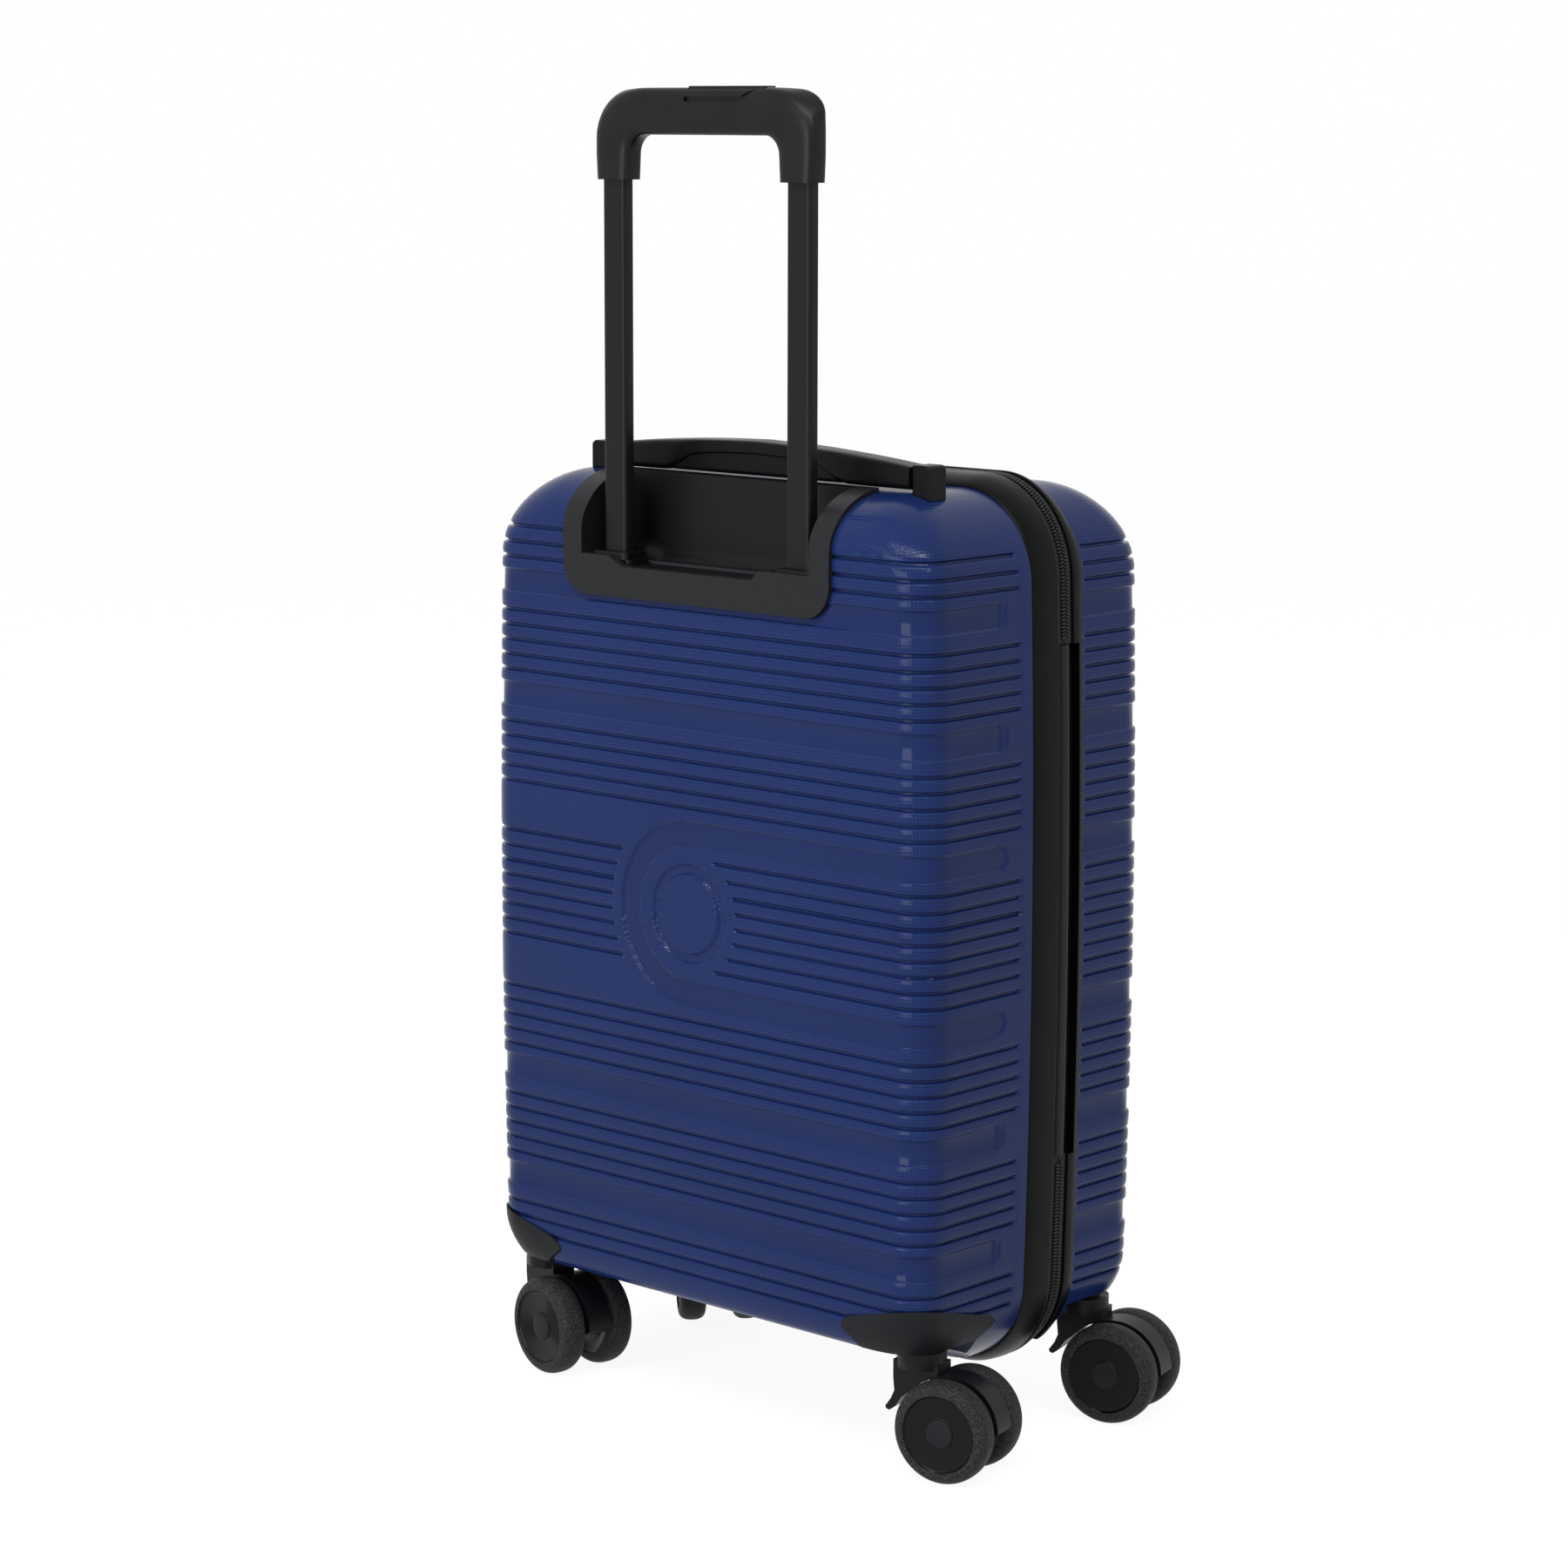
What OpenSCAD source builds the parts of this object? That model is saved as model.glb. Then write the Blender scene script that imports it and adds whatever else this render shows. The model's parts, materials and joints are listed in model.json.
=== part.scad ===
// Hard shell cabin suitcase on four twin-wheel swivel casters.
// It stands on the floor: +Z up, Z = 0 at the floor, X = 0 in the middle of its width,
// Y = 0 halfway between its two faces. The trolley face looks towards +Y.
// The back shell carries the trolley, the lock and the two carry handles.
// The front shell swings on the hinge flap up the -X side, with two of the casters.

/* [Case] */
// Width over the side walls at mid height
case_w = 331; // [326:1:336]
// Depth over the two faces
case_d = 188; // [186:1:194]
// Height of the shells' underside at the seam
shell_low = 43.5; // [43:0.5:45]
// Height of the shells' top at the seam
shell_high = 521.5; // [518:0.5:530]
// Shell wall thickness
wall = 2.6; // [2.2:0.1:2.8]
// How far the side walls bow out between their ends
side_bow = 5; // [3:0.5:6]
// Radius of the four corners of the outline
corner_r = 48; // [46:1:50]
// Radius of the upright edges beside the two faces
edge_side = 20; // [18:1:22]
// Height that the top edge loses before it meets the face
edge_top = 31; // [28:1:33]
// Height that the bottom edge gains before it meets the face
edge_low = 39; // [37:1:40]
// Depth over which the top and bottom edges roll into the face
edge_run = 44; // [42:1:46]
// Slope of the shells' underside in degrees, from the rims up to the faces
belly = 16; // [14:0.5:17]

/* [Seam] */
// Place of the edge where the back shell meets its rim
back_seam = 7; // [6:0.5:8]
// Width of the rim on the back shell
back_rim_w = 21; // [20:0.5:22]
// Gap between the two rims that the zip and the hinge flap bridge
zip_gap = 12; // [11.5:0.5:12.5]
// Width of the rim on the front shell
front_rim_w = 9.5; // [9:0.5:10]
// Rise of the rims' crest over the shells at top and bottom
rim_rise = 6.7; // [6:0.1:7]
// Rise of the rims' crest over the shells at the sides
rim_side_rise = 1.5; // [1.2:0.1:1.8]
// Depth of the rims behind the shells' outline
rim_depth = 10; // [9:0.5:11]
// How deep the zip tape lies under the crest
tape_drop = 2; // [1.6:0.1:2.4]
// Thickness of the zip tape
tape_t = 1.2; // [0.8:0.1:1.4]
// Width of one half of the zip's chain
chain_w = 3.35; // [3:0.05:3.6]
// Height where the hinge flap starts
flap_low = 159; // [145:1:175]
// Height where the hinge flap ends
flap_high = 439; // [425:1:450]
// How far the front rim is cut back beside the hinge flap
flap_cut = 5; // [3:0.5:6]

/* [Casters] */
// Wheel diameter over the tyre
wheel_d = 56; // [54:0.5:57]
// Half the width of a tyre
tyre_half = 8.2; // [7.6:0.1:8.4]
// Distance between the two wheels of a caster
wheel_gauge = 32.8; // [32.6:0.1:34]
// Radius of the hub disc
hub_r = 22.8; // [21:0.2:23]
// Distance from the swivel axis back to the axle
trail = 22.4; // [21:0.2:23]
// Distance of the swivel axes from the side walls
caster_in = 22.5; // [21.5:0.5:24.5]
// Distance of the back casters' swivel axes from the trolley face
back_caster_in = 26; // [25:0.5:26.5]
// Distance of the front casters' swivel axes from the front face
front_caster_in = 23; // [22.5:0.5:23.5]
// Height of the housings' underside
housing_z = 66.5; // [66:0.5:67]
// How far the housings stand out from the shell
housing_skin = 1.2; // [0.8:0.1:1.6]
// Diameter of the fork's post
post_d = 27; // [24:0.5:28]
// Width of the hood between the wheels
hood_w = 15; // [13:0.5:15]
// Axle diameter
axle_d = 6; // [5:0.5:7]
// Diameter of the steel swivel stem
stem_d = 8; // [7:0.5:9]
// Running clearance of axles and stems, on the radius
running = 0.05; // [0.02:0.01:0.1]
// Direction that each caster trails in: back right, back left, front left, front right
caster_angles = [171, 192.6, 195, 138]; // [0:0.1:360]

/* [Trolley] */
// Distance of the tubes from the middle of the width
tube_x = 68; // [67:0.5:69]
// Distance of the tubes' middle from the trolley face
tube_in = 11; // [11:0.5:11.5]
// Length of the inner tubes below the grip
tube_l = 294; // [280:1:296]
// Width of the inner tubes
tube_w = 16.5; // [16:0.5:17]
// Depth of the inner tubes
tube_d = 8; // [7.5:0.5:8]
// Wall of the tubes
tube_wall = 1.2; // [1:0.1:1.3]
// Clearance between nested tubes
tube_gap = 0.45; // [0.35:0.05:0.5]
// Height of the cup's floor
cup_floor = 478.5; // [476:0.5:480]
// Half width of the cup's opening
cup_half = 84.5; // [83:0.5:86]
// Distance of the cup's back wall from the trolley face
cup_deep = 31.5; // [30:0.5:33]
// Width of the bezel beside the cup's opening
bezel_w = 14.5; // [12:0.5:16]
// Depth of the bezel below the cup's floor
bezel_low = 22.5; // [18:0.5:24]
// How far the bezel stands out from the shell
bezel_skin = 2.5; // [1.5:0.1:3]
// How far the inner stage stands out with the trolley as it is shown
stage_out = 201.5; // [180:0.5:204]
// Width of the grip
grip_w = 160; // [158:1:164]
// Depth of the grip
grip_d = 15; // [14.5:0.5:16]
// Height of the grip from its feet to its top
grip_h = 49; // [46:1:54]
// Thickness of the grip's bar
grip_bar = 25; // [24:0.5:26]
// Width of the grip's legs
grip_leg = 25; // [23:0.5:25]
// Length of the push button
button_l = 55; // [45:1:58]
// Place of the push button's middle along the grip
button_x = -17; // [-18:0.5:0]
// Width of the push button
button_w = 9.5; // [8:0.5:10]
// Travel of the push button
button_travel = 3; // [2:0.5:3]

/* [Handles and lock] */
// Distance of the two carry handles from the trolley face
handle_in = 46; // [45:0.5:47]
// Length of the top handle between its brackets
top_handle_l = 225; // [215:1:227]
// Place of the top handle's middle along the width
top_handle_x = -7; // [-8:0.5:0]
// Length of the side handle between its brackets
side_handle_l = 180; // [160:1:200]
// Width of the carry handles
handle_w = 18; // [16:0.5:19]
// Height of the middle of the lock
lock_z = 410; // [404:1:414]
// Radius of the lock's dials
dial_r = 8; // [7.6:0.1:8.2]
// Width of the packing straps
strap_w = 25; // [20:1:30]

/* [Hidden] */
$fn = 64;

// Colours for a preview
BLUE = [0.16, 0.20, 0.42];
BLACK = [0.08, 0.08, 0.09];
GREY = [0.45, 0.46, 0.48];
STEEL = [0.75, 0.76, 0.78];
CLOTH = [0.20, 0.21, 0.24];

// Outline that both shells and both rims share, as seen from the front
half_w = case_w / 2;
face = case_d / 2;
mid_z = (shell_low + shell_high) / 2;
half_z = (shell_high - shell_low) / 2;
corner_steps = 9;
side_steps = 6;

// Places along the width and the depth
caster_x = half_w - caster_in;
back_caster_y = face - back_caster_in;
front_caster_y = face - front_caster_in;
tube_y = face - tube_in;
cup_back = face - cup_deep;
handle_y = face - handle_in;
rim_edge = back_seam - back_rim_w;
zip_mid = rim_edge - zip_gap / 2;
front_edge = rim_edge - zip_gap;
front_seam = front_edge - front_rim_w;

// Factor that pulls a side point in above and below mid height
function bow(z) = 1 - side_bow / half_w * pow((z - mid_z) / half_z, 2);

// Directions in which the points of the outline face, counter-clockwise from +X
side_list = [for (i = [1 : side_steps - 1]) i / side_steps];
corner_list = [for (i = [0 : corner_steps]) 90 * i / corner_steps];
facing = concat(corner_list, [for (a = corner_list) a + 90], [for (t = side_list) 180],
    [for (a = corner_list) a + 180], [for (a = corner_list) a + 270], [for (t = side_list) 360]);

// Raw points of the outline grown by s at the sides, t at the top and b at the bottom
function raw(s, t, b) =
    let (cx = half_w - corner_r, ct = shell_high - corner_r, cb = shell_low + corner_r)
    concat(
        [for (a = corner_list) [cx + (corner_r + s) * cos(a), ct + (corner_r + t) * sin(a)]],
        [for (a = corner_list) [-cx - (corner_r + s) * sin(a), ct + (corner_r + t) * cos(a)]],
        [for (k = side_list) [-half_w - s, ct + k * (cb - ct)]],
        [for (a = corner_list) [-cx - (corner_r + s) * cos(a), cb - (corner_r + b) * sin(a)]],
        [for (a = corner_list) [cx + (corner_r + s) * sin(a), cb - (corner_r + b) * cos(a)]],
        [for (k = side_list) [half_w + s, cb + k * (ct - cb)]]);

// The same points with the bow of the side walls
function outline(s, t, b) = [for (p = raw(s, t, b)) [p[0] * bow(p[1]), p[1]]];

// Ring of points in the plane y
function flat_ring(y, s, t) = [for (p = outline(s, t, t)) [p[0], y, p[1]]];

// Ring on the roll between wall and face: roll = 0 on the wall, 90 on the face
function roll_ring(roll, grow) =
    let (k = 1 - cos(roll), g = grow * cos(roll),
        ring = outline(g - edge_side * k, g - edge_top * k, g - edge_low * k))
    [for (i = [0 : len(ring) - 1])
        let (run = edge_side * pow(cos(facing[i]), 2) + edge_run * pow(sin(facing[i]), 2))
        [ring[i][0], face - run * (1 - sin(roll)) + grow * sin(roll), ring[i][1]]];

// Solid through a list of rings with rising y
module skin(rings) {
    n = len(rings[0]);
    m = len(rings);
    points = [for (r = rings) for (p = r) p];
    sides = [for (j = [0 : m - 2]) for (i = [0 : n - 1]) for (h = [0, 1])
        let (a = j * n + i, b = j * n + (i + 1) % n)
        h == 0 ? [a, b, b + n] : [a, b + n, a + n]];
    first = [for (i = [n - 1 : -1 : 0]) i];
    last = [for (i = [0 : n - 1]) (m - 1) * n + i];
    polyhedron(points = points, faces = concat([first], sides, [last]), convexity = 6);
}

// Pillow-shaped solid from the plane y to the face, grown by grow; its underside slopes up
// from 4 mm beyond the seam of its shell
module pillow(y, grow) {
    seam = y > -front_seam - 5 ? -front_seam : back_seam;
    difference() {
        skin(concat([[for (p = flat_ring(y, grow, grow)) p]], [for (r = [0 : 15 : 90]) roll_ring(r, grow)]));
        translate([0, seam + 4, shell_low - grow / cos(belly)])
            rotate([belly, 0, 0])
                translate([-half_w - 40, -40, -60])
                    cube([case_w + 80, case_d, 60]);
    }
}

// Flat plate of the outline between the planes a and b
module plate(a, b, s, t) {
    translate([0, b, 0])
        rotate([90, 0, 0])
            linear_extrude(height = b - a)
                polygon(outline(s, t, t));
}

// Band of the outline between two growths under the crest of the rims
module crest_band(a, b, top, depth) {
    difference() {
        plate(a, b, rim_side_rise - top, rim_rise - top);
        plate(a - 1, b + 1, rim_side_rise - top - depth, rim_rise - top - depth);
    }
}

// Block on the -X side where the hinge flap takes the place of the zip
module flap_zone(a, b) {
    translate([-half_w - 20, a, flap_low])
        cube([40, b - a, flap_high - flap_low]);
}

// Rounded rectangle made of arcs
module round_rect(w, d, r) {
    square([w - 2 * r, d], center = true);
    square([w, d - 2 * r], center = true);
    for (i = [-1, 1])
        for (j = [-1, 1])
            translate([i * (w / 2 - r), j * (d / 2 - r)])
                circle(r = r);
}

// --- Casters ---------------------------------------------------------------------------------
wheel_r = wheel_d / 2;
caster_at = [[caster_x, back_caster_y], [-caster_x, back_caster_y],
    [-caster_x, -front_caster_y], [caster_x, -front_caster_y]];
fork_top = housing_z - 0.3;
wheel_top = wheel_d + 1;
tread_h = wheel_r - hub_r;
well_mid = trail + 0.11 * wheel_gauge;
well_r = wheel_r + 1.2;
disc_r = 33;
ceiling = housing_z + 3.3;
pod_top = ceiling + wall + 0.2;
pod_r = well_mid + sqrt(well_r * well_r - pow(shell_low - wheel_r, 2)) + wall;
boss_r = 9;
boss_top = ceiling + 12;

// Put a piece on caster i, with local +X along the trail and the swivel axis at X = 0
module at_caster(i) {
    translate([caster_at[i][0], caster_at[i][1], 0])
        rotate([0, 0, caster_angles[i]])
            children();
}

// Space that the two wheels sweep as a caster turns, with the room above it
module wheel_well(y) {
    for (x = [-caster_x, caster_x])
        translate([x, y, 0]) {
            rotate_extrude($fn = 72)
                intersection() {
                    translate([well_mid, wheel_r])
                        circle(r = well_r, $fn = 72);
                    square([120, 120]);
                }
            translate([0, 0, wheel_r])
                cylinder(r = disc_r + 0.3, h = housing_z - wheel_r + 0.01);
            translate([0, 0, housing_z])
                cylinder(r1 = disc_r + 0.3, r2 = disc_r + 3.8, h = ceiling - housing_z);
            cylinder(r = boss_r + 0.3, h = boss_top);
        }
}

// Room kept free inside the shell for the wall around the wheel wells
module pods(y, r, top) {
    for (x = [-caster_x, caster_x])
        translate([x, y, 0])
            cylinder(r = r, h = top);
}

// Shell half seen as a back shell, with its edge at the plane seam
module shell_half(seam, y) {
    difference() {
        pillow(seam, 0);
        difference() {
            pillow(seam - 1, -wall);
            pods(y, pod_r, pod_top);
        }
        wheel_well(y);
    }
}

// Corner housings seen as the back pair
module housings(seam, y) {
    difference() {
        union() {
            difference() {
                intersection() {
                    pillow(seam + 4, housing_skin);
                    for (x = [-caster_x, caster_x])
                        translate([x, y, 0]) {
                            translate([0, 0, housing_z])
                                cylinder(r1 = disc_r, r2 = disc_r + 11, h = 10.5);
                            translate([0, 0, housing_z + 10.5])
                                cylinder(r = disc_r + 11, h = 20);
                        }
                    housing_top();
                }
                intersection() {
                    pillow(seam + 2, 0);
                    translate([-half_w - 30, 0, ceiling])
                        cube([case_w + 60, case_d, 60]);
                }
            }
            for (x = [-caster_x, caster_x])
                translate([x, y, housing_z])
                    cylinder(r = boss_r, h = boss_top - housing_z);
        }
        for (x = [-caster_x, caster_x])
            translate([x, y, housing_z - 1])
                cylinder(d = stem_d + 2 * running, h = 60);
    }
}

// Block below the sloping top edge of the housings, which rises towards the upright corner edge
module housing_top() {
    for (side = [-1, 1])
        scale([side, 1, 1])
            polyhedron(
                points = [[0, 0, 0], [240, 0, 0], [240, 160, 0], [0, 160, 0],
                    [0, 0, 29], [240, 0, 89], [240, 160, 129], [0, 160, 69]],
                faces = [[0, 1, 2, 3], [7, 6, 5, 4], [4, 5, 1, 0], [5, 6, 2, 1], [6, 7, 3, 2], [7, 4, 0, 3]]);
}

// Lining seen as the back one
module lining(seam, y, stop) {
    difference() {
        union() {
            difference() {
                pillow(seam + 1, -wall - 0.1);
                pillow(seam - 1, -wall - 1.1);
            }
            intersection() {
                pillow(seam + 1, -wall - 0.5);
                pods(y, pod_r + 1.3, boss_top + 6.5);
            }
        }
        pods(y, pod_r + 0.2, boss_top + 5.5);
        translate([-half_w, stop, 0])
            cube([case_w, case_d, 600]);
    }
}

// Side view of a fork in the plane between its wheels
module fork_profile() {
    intersection() {
        translate([trail, wheel_r])
            circle(r = wheel_r - 0.5);
        polygon([[-8, 64], [60, 64], [60, wheel_r], [trail + 27.3, wheel_r], [trail + 21, wheel_r - 3.7],
            [trail + 10, wheel_r - 8], [trail, wheel_r - 9], [trail - 9, wheel_r - 7], [1, 36], [-8, 42]]);
    }
    polygon([[13.5, 60], [-13.5, 60], [-13.5, 50], [-12.8, 42.6], [-14.8, 38], [-18.3, 33.1], [-17.6, 31.7],
        [-15.7, 31.2], [-12.2, 33.8], [-8.4, 39.4], [-0.4, 45.8], [4, 50], [13.5, 54]]);
}

module fork(i) {
    color(BLACK)
        at_caster(i)
            difference() {
                union() {
                    translate([0, hood_w / 2, 0])
                        rotate([90, 0, 0])
                            linear_extrude(height = hood_w)
                                fork_profile();
                    translate([0, 0, wheel_top])
                        cylinder(d = post_d, h = fork_top - wheel_top);
                }
                translate([0, 0, 50])
                    cylinder(d = stem_d, h = 30);
                translate([trail, 20, wheel_r])
                    rotate([90, 0, 0])
                        cylinder(d = axle_d + 2 * running, h = 40);
            }
}

module stem(i) {
    color(STEEL)
        at_caster(i) {
            translate([0, 0, 50])
                cylinder(d = stem_d, h = boss_top + 0.4 - 50);
            translate([0, 0, boss_top + 0.4])
                cylinder(d = stem_d + 5, h = 2.4);
        }
}

// Half section of a tyre: distance from the axle across, place along the axle up
module tyre_section() {
    difference() {
        translate([hub_r, 0])
            scale([tread_h / tyre_half, 1])
                circle(r = tyre_half);
        translate([0, -20])
            square([hub_r - 1.4, 40]);
        translate([hub_r - 3, -6.3])
            square([3, 12.6]);
    }
}

module on_axle(i) {
    at_caster(i)
        for (s = [-1, 1])
            translate([trail, s * wheel_gauge / 2, wheel_r])
                rotate([-90 * s, 0, 0])
                    children();
}

module tyres(i) {
    color(BLACK)
        on_axle(i)
            rotate_extrude($fn = 72)
                tyre_section();
}

module hubs(i) {
    color(BLACK)
        on_axle(i)
            difference() {
                union() {
                    translate([0, 0, -6.3])
                        cylinder(r = hub_r, h = 12.6);
                    translate([0, 0, 6.3])
                        cylinder(r1 = hub_r - 4, r2 = 8.1, h = 0.7);
                }
                translate([0, 0, -10])
                    cylinder(d = axle_d, h = 15);
            }
}

module axle(i) {
    color(STEEL)
        at_caster(i)
            translate([trail, wheel_gauge / 2 + 4.9, wheel_r])
                rotate([90, 0, 0])
                    cylinder(d = axle_d, h = wheel_gauge + 9.8);
}

// --- Shells, rims and zip --------------------------------------------------------------------
bezel_bottom = cup_floor - bezel_low;
tray_wall = 2.4;
lock_w = 26;
lock_h = 76;
lock_y = 10;
lock_face = half_w + 1;

// Box on the +X side through which the lock sits, grown by g
module lock_box(g) {
    translate([half_w - 13.5, lock_y - g, lock_z - lock_h / 2 - g])
        cube([14.5 + g * 4, lock_w + 2 * g, lock_h + 2 * g]);
}

module back_shell() {
    color(BLUE)
        difference() {
            shell_half(back_seam, back_caster_y);
            translate([-cup_half - tray_wall - 0.2, cup_back - tray_wall - 0.2, cup_floor - tray_wall - 0.2])
                cube([2 * (cup_half + tray_wall + 0.2), 60, 80]);
            lock_box(0.2);
        }
}

module front_shell() {
    color(BLUE)
        mirror([0, 1, 0])
            shell_half(-front_seam, front_caster_y);
}

// Rings of a rim from the shell's edge at a to the zip's edge at b, as shares of width and rise
module rim_solid(a, b, shares) {
    rings = [for (s = shares) flat_ring(a + (b - a) * s[0], rim_side_rise * s[1], rim_rise * s[2])];
    skin([for (i = [0 : len(rings) - 1]) b > a ? rings[i] : rings[len(rings) - 1 - i]]);
}

module back_rim() {
    color(BLACK)
        difference() {
            rim_solid(back_seam, rim_edge, [[0, 0, 0], [0.1, 0.4, 0.3], [0.24, 0.7, 0.6], [0.42, 0.9, 0.82],
                [0.62, 1, 0.93], [0.95, 1, 1], [1, 0.6, 0.9]]);
            plate(rim_edge - 1, back_seam + 1, -rim_depth, -rim_depth);
        }
}

module front_rim() {
    color(BLACK)
        difference() {
            rim_solid(front_seam, front_edge, [[0, 0, 0], [0.18, 0.4, 0.35], [0.37, 0.7, 0.6],
                [0.6, 0.9, 0.86], [0.79, 1, 0.96], [0.94, 1, 1], [1, 0.6, 0.9]]);
            plate(front_seam - 1, front_edge + 1, -rim_depth, -rim_depth);
            wheel_well(-front_caster_y);
            translate([-half_w - 20, front_edge - flap_cut, flap_low])
                cube([20 + rim_depth + side_bow, 40, flap_high - flap_low]);
        }
}

module zip_tape(a, b) {
    color(BLACK)
        difference() {
            crest_band(a, b, tape_drop, tape_t);
            flap_zone(a - 1, b + 1);
            wheel_well(-front_caster_y);
        }
}

module back_zip_tape() {
    zip_tape(zip_mid + 0.3, rim_edge);
}

module front_zip_tape() {
    zip_tape(front_edge, zip_mid - 0.3);
}

module zip_chain(a, b) {
    color(BLACK)
        difference() {
            crest_band(a, b, 0.2, tape_drop - 0.2);
            flap_zone(a - 1, b + 1);
            wheel_well(-front_caster_y);
        }
}

module back_zip_chain() {
    zip_chain(zip_mid + 0.15, zip_mid + 0.15 + chain_w);
}

module front_zip_chain() {
    zip_chain(zip_mid - 0.15 - chain_w, zip_mid - 0.15);
}

// Strip on the back rim, with a deep web that reaches under the edge of the front rim
module hinge_flap() {
    color(BLACK)
        intersection() {
            union() {
                crest_band(zip_mid, rim_edge, 0.2, 2.5);
                crest_band(zip_mid, zip_mid + 1.5, 0.2, 7);
                crest_band(front_edge - flap_cut + 0.6, zip_mid + 1.5, 5.2, 2);
            }
            translate([-half_w - 20, front_edge - 20, flap_low + 0.3])
                cube([24.3, 60, flap_high - flap_low - 0.6]);
        }
}

module back_corner_housings() {
    color(BLACK)
        housings(back_seam, back_caster_y);
}

module front_corner_housings() {
    color(BLACK)
        mirror([0, 1, 0])
            housings(-front_seam, front_caster_y);
}

// --- Inside ----------------------------------------------------------------------------------
board_y = tube_y - 11;

module back_lining() {
    color(CLOTH)
        difference() {
            lining(back_seam, back_caster_y, board_y);
            translate([-cup_half - 4, cup_back - 4, cup_floor - 5])
                cube([2 * cup_half + 8, 60, 80]);
            lock_box(1);
        }
}

module front_lining() {
    color(CLOTH)
        mirror([0, 1, 0])
            lining(-front_seam, front_caster_y, face);
}

// Board between the trolley tubes and the load
module back_panel() {
    color(CLOTH)
        intersection() {
            pillow(back_seam + 2, -wall - 0.3);
            translate([-half_w, board_y, boss_top + 7])
                cube([case_w, 1.4, cup_floor - 4 - boss_top - 7]);
        }
}

module back_straps() {
    color(BLACK)
        difference() {
            intersection() {
                plate(back_seam + 3, back_seam + 4.2, -wall - 1.1, -wall - 1.1);
                for (z = [mid_z - 72, mid_z + 72])
                    translate([-half_w, 0, z - strap_w / 2])
                        cube([case_w, 60, strap_w]);
            }
            for (z = [mid_z - 72, mid_z + 72])
                translate([-12, 0, z - 40])
                    cube([24, 60, 80]);
        }
}

// Side-release buckles that join the two halves of each strap
module strap_buckles() {
    color(BLACK)
        for (z = [mid_z - 72, mid_z + 72])
            difference() {
                translate([-24, back_seam + 0.6, z - strap_w / 2 - 3])
                    cube([48, 6, strap_w + 6]);
                for (s = [-1, 1])
                    translate([s * 18.5 - 6.5, back_seam + 3, z - strap_w / 2])
                        cube([13, 1.2, strap_w]);
            }
}

// --- Trolley ---------------------------------------------------------------------------------
middle_w = tube_w + 2 * tube_gap + 2 * tube_wall;
middle_d = tube_d + 2 * tube_gap + 2 * tube_wall;
outer_w = middle_w + 2 * tube_gap + 2 * tube_wall;
outer_d = middle_d + 2 * tube_gap + 2 * tube_wall;
collar_top = cup_floor + 1.5;
tubes_low = 98;
grip_low = collar_top + 0.5 + stage_out;
grip_top = grip_low + grip_h;
socket = 20;

module at_tubes(z) {
    for (x = [-tube_x, tube_x])
        translate([x, tube_y, z])
            children();
}

// Rectangular tube with rounded edges
module tube(w, d, t, h) {
    difference() {
        linear_extrude(height = h)
            round_rect(w, d, 2);
        translate([0, 0, -1])
            linear_extrude(height = h + 2)
                round_rect(w - 2 * t, d - 2 * t, 0.9);
    }
}

// Rounded outline of the bezel as seen on the back face
module bezel_area() {
    x = cup_half + bezel_w;
    r = 18;
    translate([0, face + 20, bezel_bottom])
        rotate([90, 0, 0])
            linear_extrude(height = face + 20 - cup_back + 5) {
                translate([-x + r, 0])
                    square([2 * x - 2 * r, 100]);
                translate([-x, r])
                    square([2 * x, 100]);
                for (s = [-1, 1])
                    translate([s * (x - r), r])
                        circle(r = r);
            }
}

module trolley_cup() {
    color(BLACK)
        difference() {
            union() {
                difference() {
                    intersection() {
                        pillow(back_seam + 20, bezel_skin);
                        bezel_area();
                    }
                    pillow(back_seam + 18, 0);
                }
                intersection() {
                    pillow(back_seam + 20, bezel_skin);
                    translate([-cup_half - tray_wall, cup_back - tray_wall, cup_floor - tray_wall])
                        cube([2 * (cup_half + tray_wall), 60, 80]);
                }
            }
            translate([-cup_half, cup_back, cup_floor])
                cube([2 * cup_half, 60, 80]);
            at_tubes(cup_floor - 20)
                linear_extrude(height = 30)
                    round_rect(outer_w + 3, outer_d + 3, 3);
        }
}

module tube_collars() {
    color(BLACK)
        at_tubes(cup_floor - 8)
            difference() {
                union() {
                    translate([0, 0, 8 - tray_wall])
                        linear_extrude(height = collar_top - cup_floor + tray_wall)
                            round_rect(outer_w + 3, outer_d + 3, 3);
                    linear_extrude(height = 8 - tray_wall)
                        round_rect(outer_w + 7, outer_d + 1, 3);
                }
                translate([0, 0, -1])
                    linear_extrude(height = 20)
                        round_rect(middle_w + 2 * tube_gap, middle_d + 2 * tube_gap, 2);
            }
}

module outer_tubes() {
    color(BLACK)
        at_tubes(tubes_low)
            tube(outer_w, outer_d, tube_wall, cup_floor - 8 - tubes_low);
}

module tube_feet() {
    color(BLACK)
        for (x = [-tube_x, tube_x])
            translate([x - 18, board_y + 1.4, tubes_low - 8])
                cube([36, face - wall - board_y - 1.4, 8]);
}

module middle_tubes() {
    color(BLACK)
        at_tubes(tubes_low + 6)
            tube(middle_w, middle_d, tube_wall, collar_top - 2 - tubes_low - 6);
}

// Rings on the tops of the middle tubes, in which the inner tubes slide
module middle_caps() {
    color(BLACK)
        at_tubes(collar_top - 2)
            difference() {
                linear_extrude(height = 2)
                    round_rect(middle_w, middle_d, 2);
                translate([0, 0, -1])
                    linear_extrude(height = 4)
                        round_rect(tube_w + 2 * tube_gap, tube_d + 2 * tube_gap, 2);
            }
}

module inner_tubes() {
    color(BLACK)
        at_tubes(grip_low - tube_l)
            tube(tube_w, tube_d, tube_wall, tube_l + socket);
}

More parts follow.
